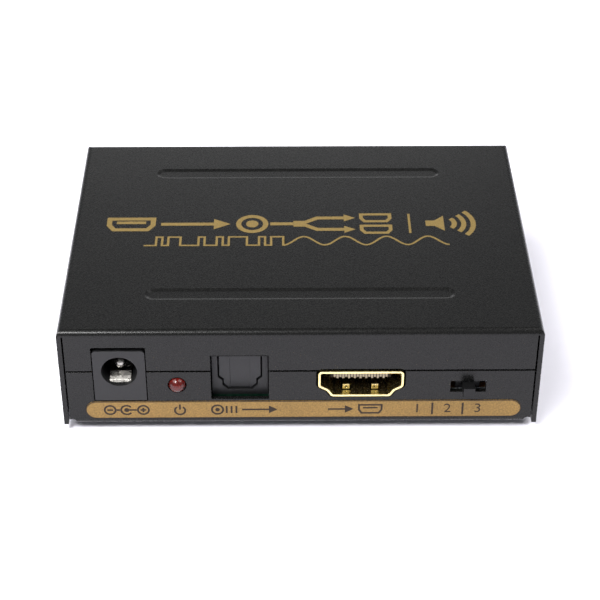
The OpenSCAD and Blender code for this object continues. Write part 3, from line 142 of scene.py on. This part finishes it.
def white_floor():
    """A sheet of matt white paper with a faint fibre."""
    bpy.ops.object.select_all(action="DESELECT")
    bpy.ops.mesh.primitive_plane_add(size=FLOOR_SIZE)
    floor = bpy.context.object
    floor.name = "floor"
    material = bpy.data.materials.new("matt white paper")
    material.use_nodes = True
    tree = material.node_tree
    shader = tree.nodes["Principled BSDF"]
    shader.inputs["Roughness"].default_value = 0.9
    shader.inputs["Specular IOR Level"].default_value = 0.1
    place = add(tree, "ShaderNodeTexCoord").outputs["Object"]
    fibre = add(tree, "ShaderNodeTexNoise", Vector=place, Scale=PAPER_FIBRES_PER_METRE,
                Detail=3.0).outputs["Fac"]
    tone = add(tree, "ShaderNodeMix", {"data_type": "RGBA"}, _0=fibre, _6=linear("#f5f3fb"),
               _7=linear("#f1eff7"))
    tree.links.new(tone.outputs[2], shader.inputs["Base Color"])
    floor.data.materials.append(material)


def grey_room():
    """A grey room all round, darker at the ceiling, so that the fold stays dark on its right."""
    world = bpy.data.worlds.new("grey room")
    world.use_nodes = True
    tree = world.node_tree
    backdrop = tree.nodes["Background"]
    backdrop.inputs["Color"].default_value = linear(ROOM_COLOUR)
    direction = add(tree, "ShaderNodeTexCoord").outputs["Generated"]
    height = add(tree, "ShaderNodeSeparateXYZ", _0=direction).outputs["Z"]
    level = add(tree, "ShaderNodeMapRange", Value=height, _1=ROOM_HEIGHT[0], _2=ROOM_HEIGHT[1],
                _3=ROOM_LEVEL[0], _4=ROOM_LEVEL[1]).outputs["Result"]
    tree.links.new(level, backdrop.inputs["Strength"])
    scene.world = world


place_camera()
white_floor()
for soft_box in SOFT_BOXES:
    soft_light(*soft_box)
grey_room()
scene.view_settings.view_transform = "Standard"


# Materials

# The noise values between which a grain or a cloud goes from its lowest to its highest
NOISE_RANGE = (0.3, 0.7)
GRAIN_DETAIL = 3.0
GRAIN_ROUGHNESS = 0.6
CLOUD_DETAIL = 2.0
EDGE_SAMPLES = 4


def surface(name, dark, light, grain_mm, roughness, bump_mm=0.0, metallic=0.0, contrast=NOISE_RANGE,
            edge_mm=0.0, mottle_mm=0.0, mottle=0.0, stretch=(1, 1, 1), **constants):
    """A procedural surface on Object coordinates.

    dark and light are its two tones, grain_mm the size of its grain, roughness its lowest and highest value,
    bump_mm the grain's height, edge_mm the rounding that its edges show, and mottle_mm the size of a slow
    change of tone by the share mottle. What is the same all over goes on the shader's own sockets."""
    low, high = NOISE_RANGE
    material = bpy.data.materials.new(name)
    material.use_nodes = True
    tree = material.node_tree
    shader = tree.nodes["Principled BSDF"]
    place = add(tree, "ShaderNodeTexCoord").outputs["Object"]
    if stretch != (1, 1, 1):
        place = add(tree, "ShaderNodeMapping", Vector=place, Scale=stretch).outputs["Vector"]
    grain = add(tree, "ShaderNodeTexNoise", Vector=place, Scale=1 / (grain_mm * MM), Detail=GRAIN_DETAIL,
                Roughness=GRAIN_ROUGHNESS).outputs["Fac"]
    tone = add(tree, "ShaderNodeMapRange", Value=grain, _1=contrast[0], _2=contrast[1]).outputs["Result"]
    colour = add(tree, "ShaderNodeMix", {"data_type": "RGBA"}, _0=tone, _6=linear(dark),
                 _7=linear(light)).outputs[2]
    if mottle_mm:
        cloud = add(tree, "ShaderNodeTexNoise", Vector=place, Scale=1 / (mottle_mm * MM),
                    Detail=CLOUD_DETAIL).outputs["Fac"]
        shade = add(tree, "ShaderNodeMapRange", Value=cloud, _1=low, _2=high, _3=1 - mottle, _4=1 + mottle)
        colour = add(tree, "ShaderNodeVectorMath", {"operation": "SCALE"}, _0=colour,
                     Scale=shade.outputs["Result"]).outputs["Vector"]
    tree.links.new(colour, shader.inputs["Base Color"])
    rough = add(tree, "ShaderNodeMapRange", Value=grain, _1=low, _2=high, _3=roughness[0], _4=roughness[1])
    tree.links.new(rough.outputs["Result"], shader.inputs["Roughness"])
    normal = None
    if edge_mm:
        normal = add(tree, "ShaderNodeBevel", {"samples": EDGE_SAMPLES},
                     Radius=edge_mm * MM).outputs["Normal"]
    if bump_mm:
        bump = add(tree, "ShaderNodeBump", Height=grain, Strength=1.0, Distance=bump_mm * MM)
        if normal:
            tree.links.new(normal, bump.inputs["Normal"])
        normal = bump.outputs["Normal"]
    if normal:
        tree.links.new(normal, shader.inputs["Normal"])
    shader.inputs["Metallic"].default_value = metallic
    for key, value in constants.items():
        shader.inputs[key.replace("_", " ")].default_value = value
    return material


MATERIALS = {
    # Polyester powder coat on folded steel: satin black, with a fine orange-peel grain that breaks up every
    # highlight into specks. The grain of 0.15 mm is drawn at 0.3 mm so that it shows.
    "powder_coat": surface(
        "satin black powder coat on steel", "#090909", "#111110", 0.3, (0.22, 0.32), 0.011, edge_mm=0.12,
        mottle_mm=25, mottle=0.08, Specular_IOR_Level=0.24),
    # Gold-coloured polyester film with aluminium flake in its lacquer: matt, speckled, darker in patches
    "gold_film": surface(
        "gold flake label film", "#614b21", "#94743b", 0.28, (0.4, 0.6), 0.004, metallic=0.35,
        mottle_mm=6, mottle=0.06),
    # Blackened machine screws: smooth and darker than the coat
    "black_screw": surface(
        "black oxide steel screw", "#141416", "#26262a", 0.2, (0.25, 0.45), 0.004, metallic=0.7,
        edge_mm=0.08),
    # Zinc-plated brass and steel: bluish, with faint turning marks
    "zinc_steel": surface(
        "zinc plated steel", "#9a9da2", "#c8cbd0", 0.25, (0.25, 0.4), 0.003, metallic=1.0, edge_mm=0.06),
    # Black rubber: dull, with a fine moulded grain
    "foot_rubber": surface(
        "black moulded rubber", "#161617", "#262628", 0.35, (0.7, 0.9), 0.02, edge_mm=0.2),
    # Epoxy of the chips: matt black with a sandy grain
    "chip_epoxy": surface(
        "black epoxy moulding", "#17181a", "#26282b", 0.2, (0.5, 0.7), 0.005, edge_mm=0.05),
    # Sleeve shrunk on a round can: dark blue, smooth and a little shiny
    "can_blue": surface(
        "blue shrink sleeve on aluminium can", "#1d2c44", "#2f4262", 0.4, (0.3, 0.45), 0.003, edge_mm=0.15),
    # Drawn and plated can: bright grey with soft edges
    "crystal_can": surface(
        "nickel plated crystal can", "#a9abae", "#d2d4d6", 0.3, (0.2, 0.35), 0.003, metallic=1.0,
        edge_mm=0.15),
    # Pressed and fired ferrite: dull grey and grainy
    "ferrite": surface("sintered ferrite", "#333335", "#56565a", 0.2, (0.6, 0.8), 0.01, edge_mm=0.1),
    # Fired chip capacitors: tan, with a faint speckle
    "capacitor_ceramic": surface(
        "fired ceramic chip", "#8d7254", "#b99a78", 0.15, (0.4, 0.6), 0.003, edge_mm=0.04),
    # Glazed chip resistors: near black and smooth
    "resistor_ceramic": surface(
        "black glazed resistor chip", "#1b1b1d", "#343438", 0.15, (0.3, 0.5), 0.003, edge_mm=0.04),
    # Glass-filled nylon of the power and optical sockets: near black, finely sparked moulds
    "socket_plastic": surface(
        "dark grey moulded nylon", "#0f0f10", "#1a1a1b", 0.3, (0.38, 0.55), 0.008, edge_mm=0.1,
        Specular_IOR_Level=0.35),
    # Nickel-plated pin, leaf and phono barrels: warm grey mirror, a little dulled
    "nickel": surface(
        "bright nickel plated brass", "#8e8b86", "#b4b1ab", 0.5, (0.24, 0.34), 0.002, metallic=1.0,
        edge_mm=0.06),
    # Resin that only infrared passes: black and glossy
    "emitter_plastic": surface(
        "black infrared emitter resin", "#0f0f12", "#1c1c22", 0.3, (0.15, 0.3), 0.003, edge_mm=0.1),
    # The optical shutter: as dark as the housing round it, and smoother
    "shutter_plastic": surface(
        "dark grey moulded acetal", "#111112", "#1c1c1e", 0.3, (0.35, 0.5), 0.006, edge_mm=0.1,
        Specular_IOR_Level=0.38),
    # Gold flash over nickel on drawn brass: pale, bright and smooth
    "gold_plate": surface(
        "gold flashed nickel on brass", "#dcc47c", "#fbedb8", 0.25, (0.16, 0.3), 0.0025, metallic=1.0,
        edge_mm=0.08),
    # The video socket's tongue: black with a brown cast, and dull
    "tongue_plastic": surface(
        "black liquid crystal polymer", "#120c09", "#261a12", 0.25, (0.45, 0.65), 0.004, edge_mm=0.05,
        Specular_IOR_Level=0.25),
    # Contacts with a thin gold plating: the gold greyed as painted shade from the shell
    "contact_gold": surface(
        "gold plated contact", "#6f6757", "#a89d88", 0.15, (0.3, 0.45), 0.001, metallic=1.0),
    # Phono inserts: slightly warm white, and a deep red, both smooth
    "phono_white": surface(
        "white moulded nylon", "#dad8d0", "#eeece6", 0.3, (0.3, 0.45), 0.004, edge_mm=0.1),
    "phono_red": surface(
        "red moulded nylon", "#8e171c", "#b0252b", 0.3, (0.3, 0.45), 0.004, edge_mm=0.1),
    # Pressed paper and resin: brown, with its fibres along the board
    "phenolic": surface(
        "brown phenolic laminate", "#4f3319", "#7a5530", 0.5, (0.5, 0.7), 0.006, stretch=(1, 6, 1)),
    # The switch lever: the darkest plastic, with a dull sheen
    "lever_black": surface(
        "black moulded acetal lever", "#050505", "#0f0f10", 0.25, (0.35, 0.5), 0.005, edge_mm=0.08,
        Specular_IOR_Level=0.25),
    # Red diffused epoxy, unlit: deep red, with a clear glossy skin
    "lamp_red": surface(
        "red diffused epoxy lens", "#3a0a07", "#56130e", 1.2, (0.14, 0.2), contrast=(0.35, 0.65),
        Specular_IOR_Level=0.4, Subsurface_Weight=0.12, Subsurface_Scale=0.0006),
    # Solder mask: green, darkened to near black as painted shade from the case
    "green_board": surface(
        "green solder mask on glass epoxy", "#03150d", "#07271a", 0.6, (0.3, 0.45), 0.004, edge_mm=0.05,
        Specular_IOR_Level=0.35),
}
# A near-black, dull bar along the upper edge of a cut-out in the sheet: painted shadow under the panel's edge
CUT_EDGE_SHADOW = surface("painted shadow under cut steel edge", "#030303", "#080808", 0.2, (0.6, 0.8), 0.004,
                   Specular_IOR_Level=0.15)
# Inks of the printed signs: flat dark brown on the film, and speckled bronze on the powder coat
INK_BROWN = surface("dark brown screen ink", "#160d06", "#26180b", 0.2, (0.5, 0.7), 0.002,
                    Specular_IOR_Level=0.3)
INK_GOLD = surface("gold bronze screen ink", "#5c4a20", "#86703c", 0.22, (0.4, 0.6), 0.003, metallic=0.25)

for subpart in frame["record"]["subparts"]:
    node = nodes[subpart["node"]]
    material = MATERIALS[subpart["material_slot"]]
    if not node.material_slots:
        node.data.materials.append(material)
    for entry in node.material_slots:
        entry.material = material


# Printed marks, drawn on a plane in millimetres

# Thickness of the ink, and points on a printed circle, a disc and an open ring
INK_T = 0.012
RING_POINTS = 48
DISC_POINTS = 24
ARC_STEPS = 32
END_STEPS = 24
# Height of a figure as a share of its font's size, and the steps of its curves
FIGURE_SHARE = 0.7
FIGURE_STEPS = 6
# Length of an arrow's head as a share of its width
HEAD_SHARE = 0.9
# A socket's tongue, half its length and its height as shares of the socket's width, and its share of the line
TONGUE_HALF, TONGUE_LEVEL, TONGUE_LINE = 0.3, 0.06, 0.9


def join_pieces(name, pieces):
    """Several drawn pieces as one, with its place in its mesh."""
    bpy.ops.object.select_all(action="DESELECT")
    for piece in pieces:
        piece.select_set(True)
    bpy.context.view_layer.objects.active = pieces[0]
    bpy.ops.object.join()
    piece = bpy.context.object
    piece.name = name
    piece.data.name = name
    bpy.ops.object.transform_apply(location=True, rotation=True, scale=True)
    return piece


def mark_shape(points):
    """A flat printed patch with this outline."""
    bpy.ops.object.select_all(action="DESELECT")
    bpy.ops.mesh.primitive_circle_add(vertices=len(points), radius=MM, fill_type="NGON")
    patch = bpy.context.object
    for vertex, point in zip(patch.data.vertices, points):
        vertex.co = (point[0] * MM, point[1] * MM, 0)
    return patch


def keep_rim(patch, width):
    """Only the rim of a flat patch, as wide as the printed line."""
    bpy.ops.object.mode_set(mode="EDIT")
    bpy.ops.mesh.select_all(action="SELECT")
    bpy.ops.mesh.inset(thickness=width * MM)
    bpy.ops.mesh.delete(type="FACE")
    bpy.ops.object.mode_set(mode="OBJECT")
    return patch


def arc(centre, radius, start, end, steps):
    """Points on a circle, with angles in degrees."""
    angles = [math.radians(start + (end - start) * i / steps) for i in range(steps + 1)]
    return [(centre[0] + radius * math.cos(a), centre[1] + radius * math.sin(a)) for a in angles]


def circle(centre, radius, count):
    """The points of a whole circle, each once."""
    return arc(centre, radius, 0, 360 - 360 / count, count - 1)


def mark_path(points, width):
    """A printed line through points, mitred at its corners."""
    points = [Vector(p) for p in points]
    runs = [(b - a).normalized() for a, b in zip(points, points[1:])]
    sides = []
    for before, after in zip(runs[:1] + runs, runs + runs[-1:]):
        across = Vector((-before.y - after.y, before.x + after.x)).normalized()
        sides.append(across * width / 2 / across.dot(Vector((-after.y, after.x))))
    left = [p + s for p, s in zip(points, sides)]
    right = [p - s for p, s in zip(points, sides)]
    return mark_shape(left + right[::-1])


def mark_bar(a, b, width):
    """A straight printed line from a to b."""
    return mark_path([a, b], width)


def mark_upright(x, half, width):
    """An upright printed line, as far above the middle as below."""
    return mark_bar((x, -half), (x, half), width)


def mark_ring(centre, radius, width, start=0, end=360):
    """A printed ring, or only its stretch from one angle to another, in degrees."""
    if end - start < 360:
        return mark_path(arc(centre, radius, start, end, ARC_STEPS), width)
    return keep_rim(mark_shape(circle(centre, radius + width / 2, RING_POINTS)), width)


def mark_dot(centre, radius):
    """A printed disc."""
    return mark_shape(circle(centre, radius, DISC_POINTS))


def mark_arrow(tail, tip, width, head):
    """A printed arrow to the right: its shaft and its head in one outline."""
    base = tip[0] - head * HEAD_SHARE
    return mark_shape([
        (tail[0], tail[1] - width / 2), (base, tip[1] - width / 2), (base, tip[1] - head / 2), tip,
        (base, tip[1] + head / 2), (base, tip[1] + width / 2), (tail[0], tail[1] + width / 2)])


def mark_plus(centre, reach, width):
    """A printed plus sign."""
    w, r = width / 2, reach
    corners = [(w, -w), (r, -w), (r, w), (w, w), (w, r), (-w, r), (-w, w), (-r, w), (-r, -w), (-w, -w),
               (-w, -r), (w, -r)]
    return mark_shape([(centre[0] + x, centre[1] + y) for x, y in corners])


def mark_figure(text, centre, height):
    """A plain printed figure."""
    bpy.ops.object.select_all(action="DESELECT")
    bpy.ops.object.text_add(location=(0, 0, 0))
    figure = bpy.context.object
    figure.data.body = text
    figure.data.align_x = "CENTER"
    figure.data.align_y = "CENTER"
    figure.data.size = height / FIGURE_SHARE * MM
    figure.data.resolution_u = FIGURE_STEPS
    bpy.ops.object.convert(target="MESH")
    figure = bpy.context.object
    figure.location = (centre[0] * MM, centre[1] * MM, 0)
    return figure


def mark_socket(centre, size, line, tongue=False):
    """A printed outline of a video socket, wide above and narrow below, with or without its tongue."""
    x, y = centre
    shares = [(-0.5, 0.25), (-0.5, -0.05), (-0.37, -0.25), (0.37, -0.25), (0.5, -0.05), (0.5, 0.25)]
    marks = [keep_rim(mark_shape([(x + u * size, y + v * size) for u, v in shares]), line)]
    if tongue:
        reach, level = TONGUE_HALF * size, y + TONGUE_LEVEL * size
        marks.append(mark_bar((x - reach, level), (x + reach, level), line * TONGUE_LINE))
    return marks


def mark_target(x, radius, dot, line):
    """A ring round a dot: a round socket seen from the front."""
    return [mark_ring((x, 0), radius, line), mark_dot((x, 0), dot)]


def print_on(name, marks, ink, place):
    """Marks drawn on the plane, given the thickness of ink and put at their place."""
    piece = join_pieces(name, marks)
    bpy.ops.object.mode_set(mode="EDIT")
    bpy.ops.mesh.select_all(action="SELECT")
    bpy.ops.mesh.extrude_region_move(TRANSFORM_OT_translate={"value": (0, 0, INK_T * MM)})
    bpy.ops.mesh.select_all(action="SELECT")
    bpy.ops.mesh.normals_make_consistent(inside=False)
    bpy.ops.object.mode_set(mode="OBJECT")
    piece.matrix_world = place
    bpy.ops.object.transform_apply(location=True, rotation=True, scale=True)
    piece.data.materials.clear()
    piece.data.materials.append(ink)
    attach(piece, "case")


# The signs on the label films: line width, height of a figure, width of an arrow's head, width of a socket
LINE = 0.34
FIGURE_H = 1.95
ARROW_HEAD = 1.7
SOCKET_SIGN = 4.3
# The dark line round a film: its length from end to end, and its width
RIM_LENGTH = 76.1
RIM_LINE = 0.16
# Places of the signs along the front film, left to right
POWER_X, LAMP_X, OPTICAL_X, VIDEO_X, SWITCH_X = -30.35, -21.05, -9.6, 9.4, 25.7
# Distance between two positions of the switch on the film
SWITCH_STEP = 5.3


def power_sign(x):
    """Direct current, centre positive: minus, a pin in an open ring, plus."""
    pole, pole_r, sign = 2.9, 0.95, 0.5
    ring_r, pin_r, opening = 0.98, 0.45, 40
    wire_near, wire_far = 1.2, 1.75
    return [
        mark_ring((x - pole, 0), pole_r, LINE), mark_bar((x - pole - sign, 0), (x - pole + sign, 0), LINE),
        mark_bar((x - wire_far, 0), (x - wire_near, 0), LINE),
        mark_ring((x, 0), ring_r, LINE, opening, 360 - opening), mark_dot((x, 0), pin_r),
        mark_bar((x + pin_r, 0), (x + wire_far, 0), LINE),
        mark_ring((x + pole, 0), pole_r, LINE), mark_plus((x + pole, 0), sign, LINE)]


def lamp_sign(x):
    """Power: a ring that is open at the top, with a bar in the gap."""
    middle, ring_r, half_gap = -0.15, 0.9, 35
    bar_low, bar_high = 0.05, 1.2
    return [mark_ring((x, middle), ring_r, LINE, 90 + half_gap, 450 - half_gap),
            mark_bar((x, bar_low), (x, bar_high), LINE)]


def optical_sign(x):
    """Optical output: a round light, three bars of light, and an arrow away from it."""
    light, ring_r, dot_r = -4.9, 0.98, 0.4
    first_ray, ray_step, ray_half = -3.3, 0.85, 0.8
    tail, tip = -0.6, 5.6
    return [*mark_target(x + light, ring_r, dot_r, LINE),
            *[mark_upright(x + first_ray + ray_step * i, ray_half, LINE) for i in range(3)],
            mark_arrow((x + tail, 0), (x + tip, 0), LINE, ARROW_HEAD)]


def video_sign(x):
    """Video input: an arrow into a socket."""
    tail, tip, socket = -4.6, -0.1, 2.8
    return [mark_arrow((x + tail, 0), (x + tip, 0), LINE, ARROW_HEAD),
            *mark_socket((x + socket, 0), SOCKET_SIGN, LINE, True)]


def switch_sign(x):
    """The switch's three positions, numbered and parted by bars."""
    bar_half = 1.3
    figures = [mark_figure(str(i + 2), (x + SWITCH_STEP * i, 0), FIGURE_H) for i in (-1, 0, 1)]
    return figures + [mark_upright(x + side * SWITCH_STEP / 2, bar_half, LINE) for side in (-1, 1)]


def front_marks():
    """The front film's signs, left to right."""
    return [*power_sign(POWER_X), *lamp_sign(LAMP_X), *optical_sign(OPTICAL_X), *video_sign(VIDEO_X),
            *switch_sign(SWITCH_X)]


def rear_marks():
    """Drawn as seen from behind: two video outputs, then the left and the right audio output."""
    outputs = (("1", 27.0), ("2", 7.0))
    socket, figure_x = -1.9, 2.4
    phono_places, phono_r, phono_dot = (-16.0, -29.0), 1.0, 0.4
    dashes = ((-10.4, -13.4), (-31.8, -34.4))
    marks = []
    for figure, x in outputs:
        marks += [*mark_socket((x + socket, 0), SOCKET_SIGN, LINE, True),
                  mark_figure(figure, (x + figure_x, 0), FIGURE_H)]
    for x in phono_places:
        marks += mark_target(x, phono_r, phono_dot, LINE)
    marks += [mark_bar((a, 0), (b, 0), LINE) for a, b in dashes]
    return marks


def strip_rim(low, high):
    """The thin dark edge of a label film with round ends."""
    middle = (low.x + high.x) / 2 / MM
    radius = (high.z - low.z) / 2 / MM
    reach = RIM_LENGTH / 2 - radius
    return [keep_rim(mark_shape(arc((middle + reach, 0), radius, -90, 90, END_STEPS)
                                + arc((middle - reach, 0), radius, 90, 270, END_STEPS)), RIM_LINE)]


# The print on the top: its wide and its narrow line, and its distances behind the front panel
TOP_LINE, DIVIDER_LINE, WAVE_LINE = 0.95, 0.45, 0.42
SIGNAL_BACK = 33.0
WAVE_BACK = 27.4


def branch(side):
    """One of two ways from the splitter to a video output, to the back or to the front."""
    near, far, line = side * 0.48, side * 1.9, 0.7
    start, bend, straight, tail, tip, socket = -1.0, 1.2, 3.4, 5.6, 10.4, 14.2
    head, socket_size = 2.3, 6.0
    return [mark_path([(start, near), (bend, near), (straight, far), (tail, far)], TOP_LINE),
            mark_arrow((tail, far), (tip, far), TOP_LINE, head),
            *mark_socket((socket, far), socket_size, line)]


def loudspeaker(x):
    """A loudspeaker from the side, its back at x, and three waves of sound."""
    box_end, mouth, box_half, mouth_half = x + 1.6, x + 3.4, 0.9, 2.5
    source, first_r, wave_step, spread = x + 3.0, 2.3, 1.75, 42
    return [mark_shape([(x, -box_half), (box_end, -box_half), (mouth, -mouth_half), (mouth, mouth_half),
                        (box_end, box_half), (x, box_half)]),
            *[mark_ring((source, 0), first_r + wave_step * k, TOP_LINE, -spread, spread) for k in range(3)]]


def top_marks():
    """The signal's way through the box: one input, a branch to two video outputs, and sound."""
    input_x, input_size = -30.9, 9.0
    arrow_tail, arrow_tip, arrow_head = -25.4, -12.6, 3.4
    splitter_x, splitter_r, splitter_dot = -8.6, 2.5, 1.15
    stem = (-5.3, -1.0)
    divider_x, divider_half, speaker_x = 20.4, 3.2, 23.4
    return [*mark_socket((input_x, 0), input_size, TOP_LINE, True),
            mark_arrow((arrow_tail, 0), (arrow_tip, 0), TOP_LINE, arrow_head),
            *mark_target(splitter_x, splitter_r, splitter_dot, TOP_LINE),
            mark_bar((stem[0], 0), (stem[1], 0), TOP_LINE), *branch(-1), *branch(1),
            mark_upright(divider_x, divider_half, DIVIDER_LINE), *loudspeaker(speaker_x)]


def top_wave():
    """A train of pulses that turns into a smooth wave."""
    start, end, half_height, pulse = -28.2, 27.3, 1.35, 1.1
    steps, waves = 120, 4
    x, level, points = start, -1, []
    for pulses in (2, 1, 1, 2, 3, 1, 2, 1, 1, 3, 2, 1, 1, 2):
        points += [(x, level * half_height), (x + pulses * pulse, level * half_height)]
        x, level = x + pulses * pulse, -level
    points += [(x + (end - x) * i / steps, half_height * math.cos(2 * math.pi * waves * i / steps) * level)
               for i in range(steps + 1)]
    return [mark_path(points, WAVE_LINE)]


def on_panel(y, z, turn=0):
    """From the drawing plane to an upright panel: drawn up is up, and the ink grows away from the case."""
    return (Matrix.Translation((0, y, z)) @ Matrix.Rotation(math.radians(turn), 4, "Z")
            @ Matrix.Rotation(math.radians(90), 4, "X"))


def on_top(back):
    """From the drawing plane to the top: drawn up is towards the back."""
    return Matrix.Translation((0, FRONT_Y + back * MM, TOP_Z))


on_front_strip = on_panel(front_strip_low.y, (front_strip_low.z + front_strip_high.z) / 2)
on_rear_strip = on_panel(rear_strip_high.y, (rear_strip_low.z + rear_strip_high.z) / 2, turn=180)
print_on("front_strip_marks", front_marks(), INK_BROWN, on_front_strip)
print_on("front_strip_rim", strip_rim(front_strip_low, front_strip_high), INK_BROWN, on_front_strip)
print_on("rear_strip_marks", rear_marks(), INK_BROWN, on_rear_strip)
print_on("rear_strip_rim", strip_rim(rear_strip_low, rear_strip_high), INK_BROWN, on_rear_strip)
print_on("top_signal_print", top_marks(), INK_GOLD, on_top(SIGNAL_BACK))
print_on("top_wave_print", top_wave(), INK_GOLD, on_top(WAVE_BACK))


# Painted shadow under cut edges

# The steel sheet, how far the bar stays inside its faces, how deep it is, and its bevel
SHEET_T = 0.8
EDGE_MARGIN = 0.04
EDGE_DROP = 0.22
EDGE_BEVEL = EDGE_DROP / 4
# The optical socket's window: its middle, its width, and its upper edge above the case's underside
WINDOW_X = -10.5
WINDOW_W = 10.0
WINDOW_TOP = 15.15


def cut_edge_shadow(name, x, width, top):
    """Painted shadow under the upper edge of a cut-out in the front panel: a dark bar inside the sheet,
    bevelled all round.
    """
    bpy.ops.object.select_all(action="DESELECT")
    bpy.ops.mesh.primitive_cube_add(size=1, location=(x * MM, FRONT_Y + SHEET_T / 2 * MM,
                                                      FOOT_H + (top - EDGE_DROP / 2) * MM))
    bar = bpy.context.object
    bar.name = name
    bar.data.name = name
    bar.scale = (width * MM, (SHEET_T - 2 * EDGE_MARGIN) * MM, EDGE_DROP * MM)
    bpy.ops.object.transform_apply(location=True, rotation=True, scale=True)
    bpy.ops.object.mode_set(mode="EDIT")
    bpy.ops.mesh.select_all(action="SELECT")
    bpy.ops.mesh.bevel(offset=EDGE_BEVEL * MM, segments=2, affect="EDGES")
    bpy.ops.mesh.select_all(action="SELECT")
    bpy.ops.mesh.normals_make_consistent(inside=False)
    bpy.ops.object.mode_set(mode="OBJECT")
    bar.data.materials.append(CUT_EDGE_SHADOW)
    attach(bar, "case")


# A dark bar as painted shadow under the optical window's upper edge
cut_edge_shadow("optical_window_edge_shadow", WINDOW_X, WINDOW_W, WINDOW_TOP)
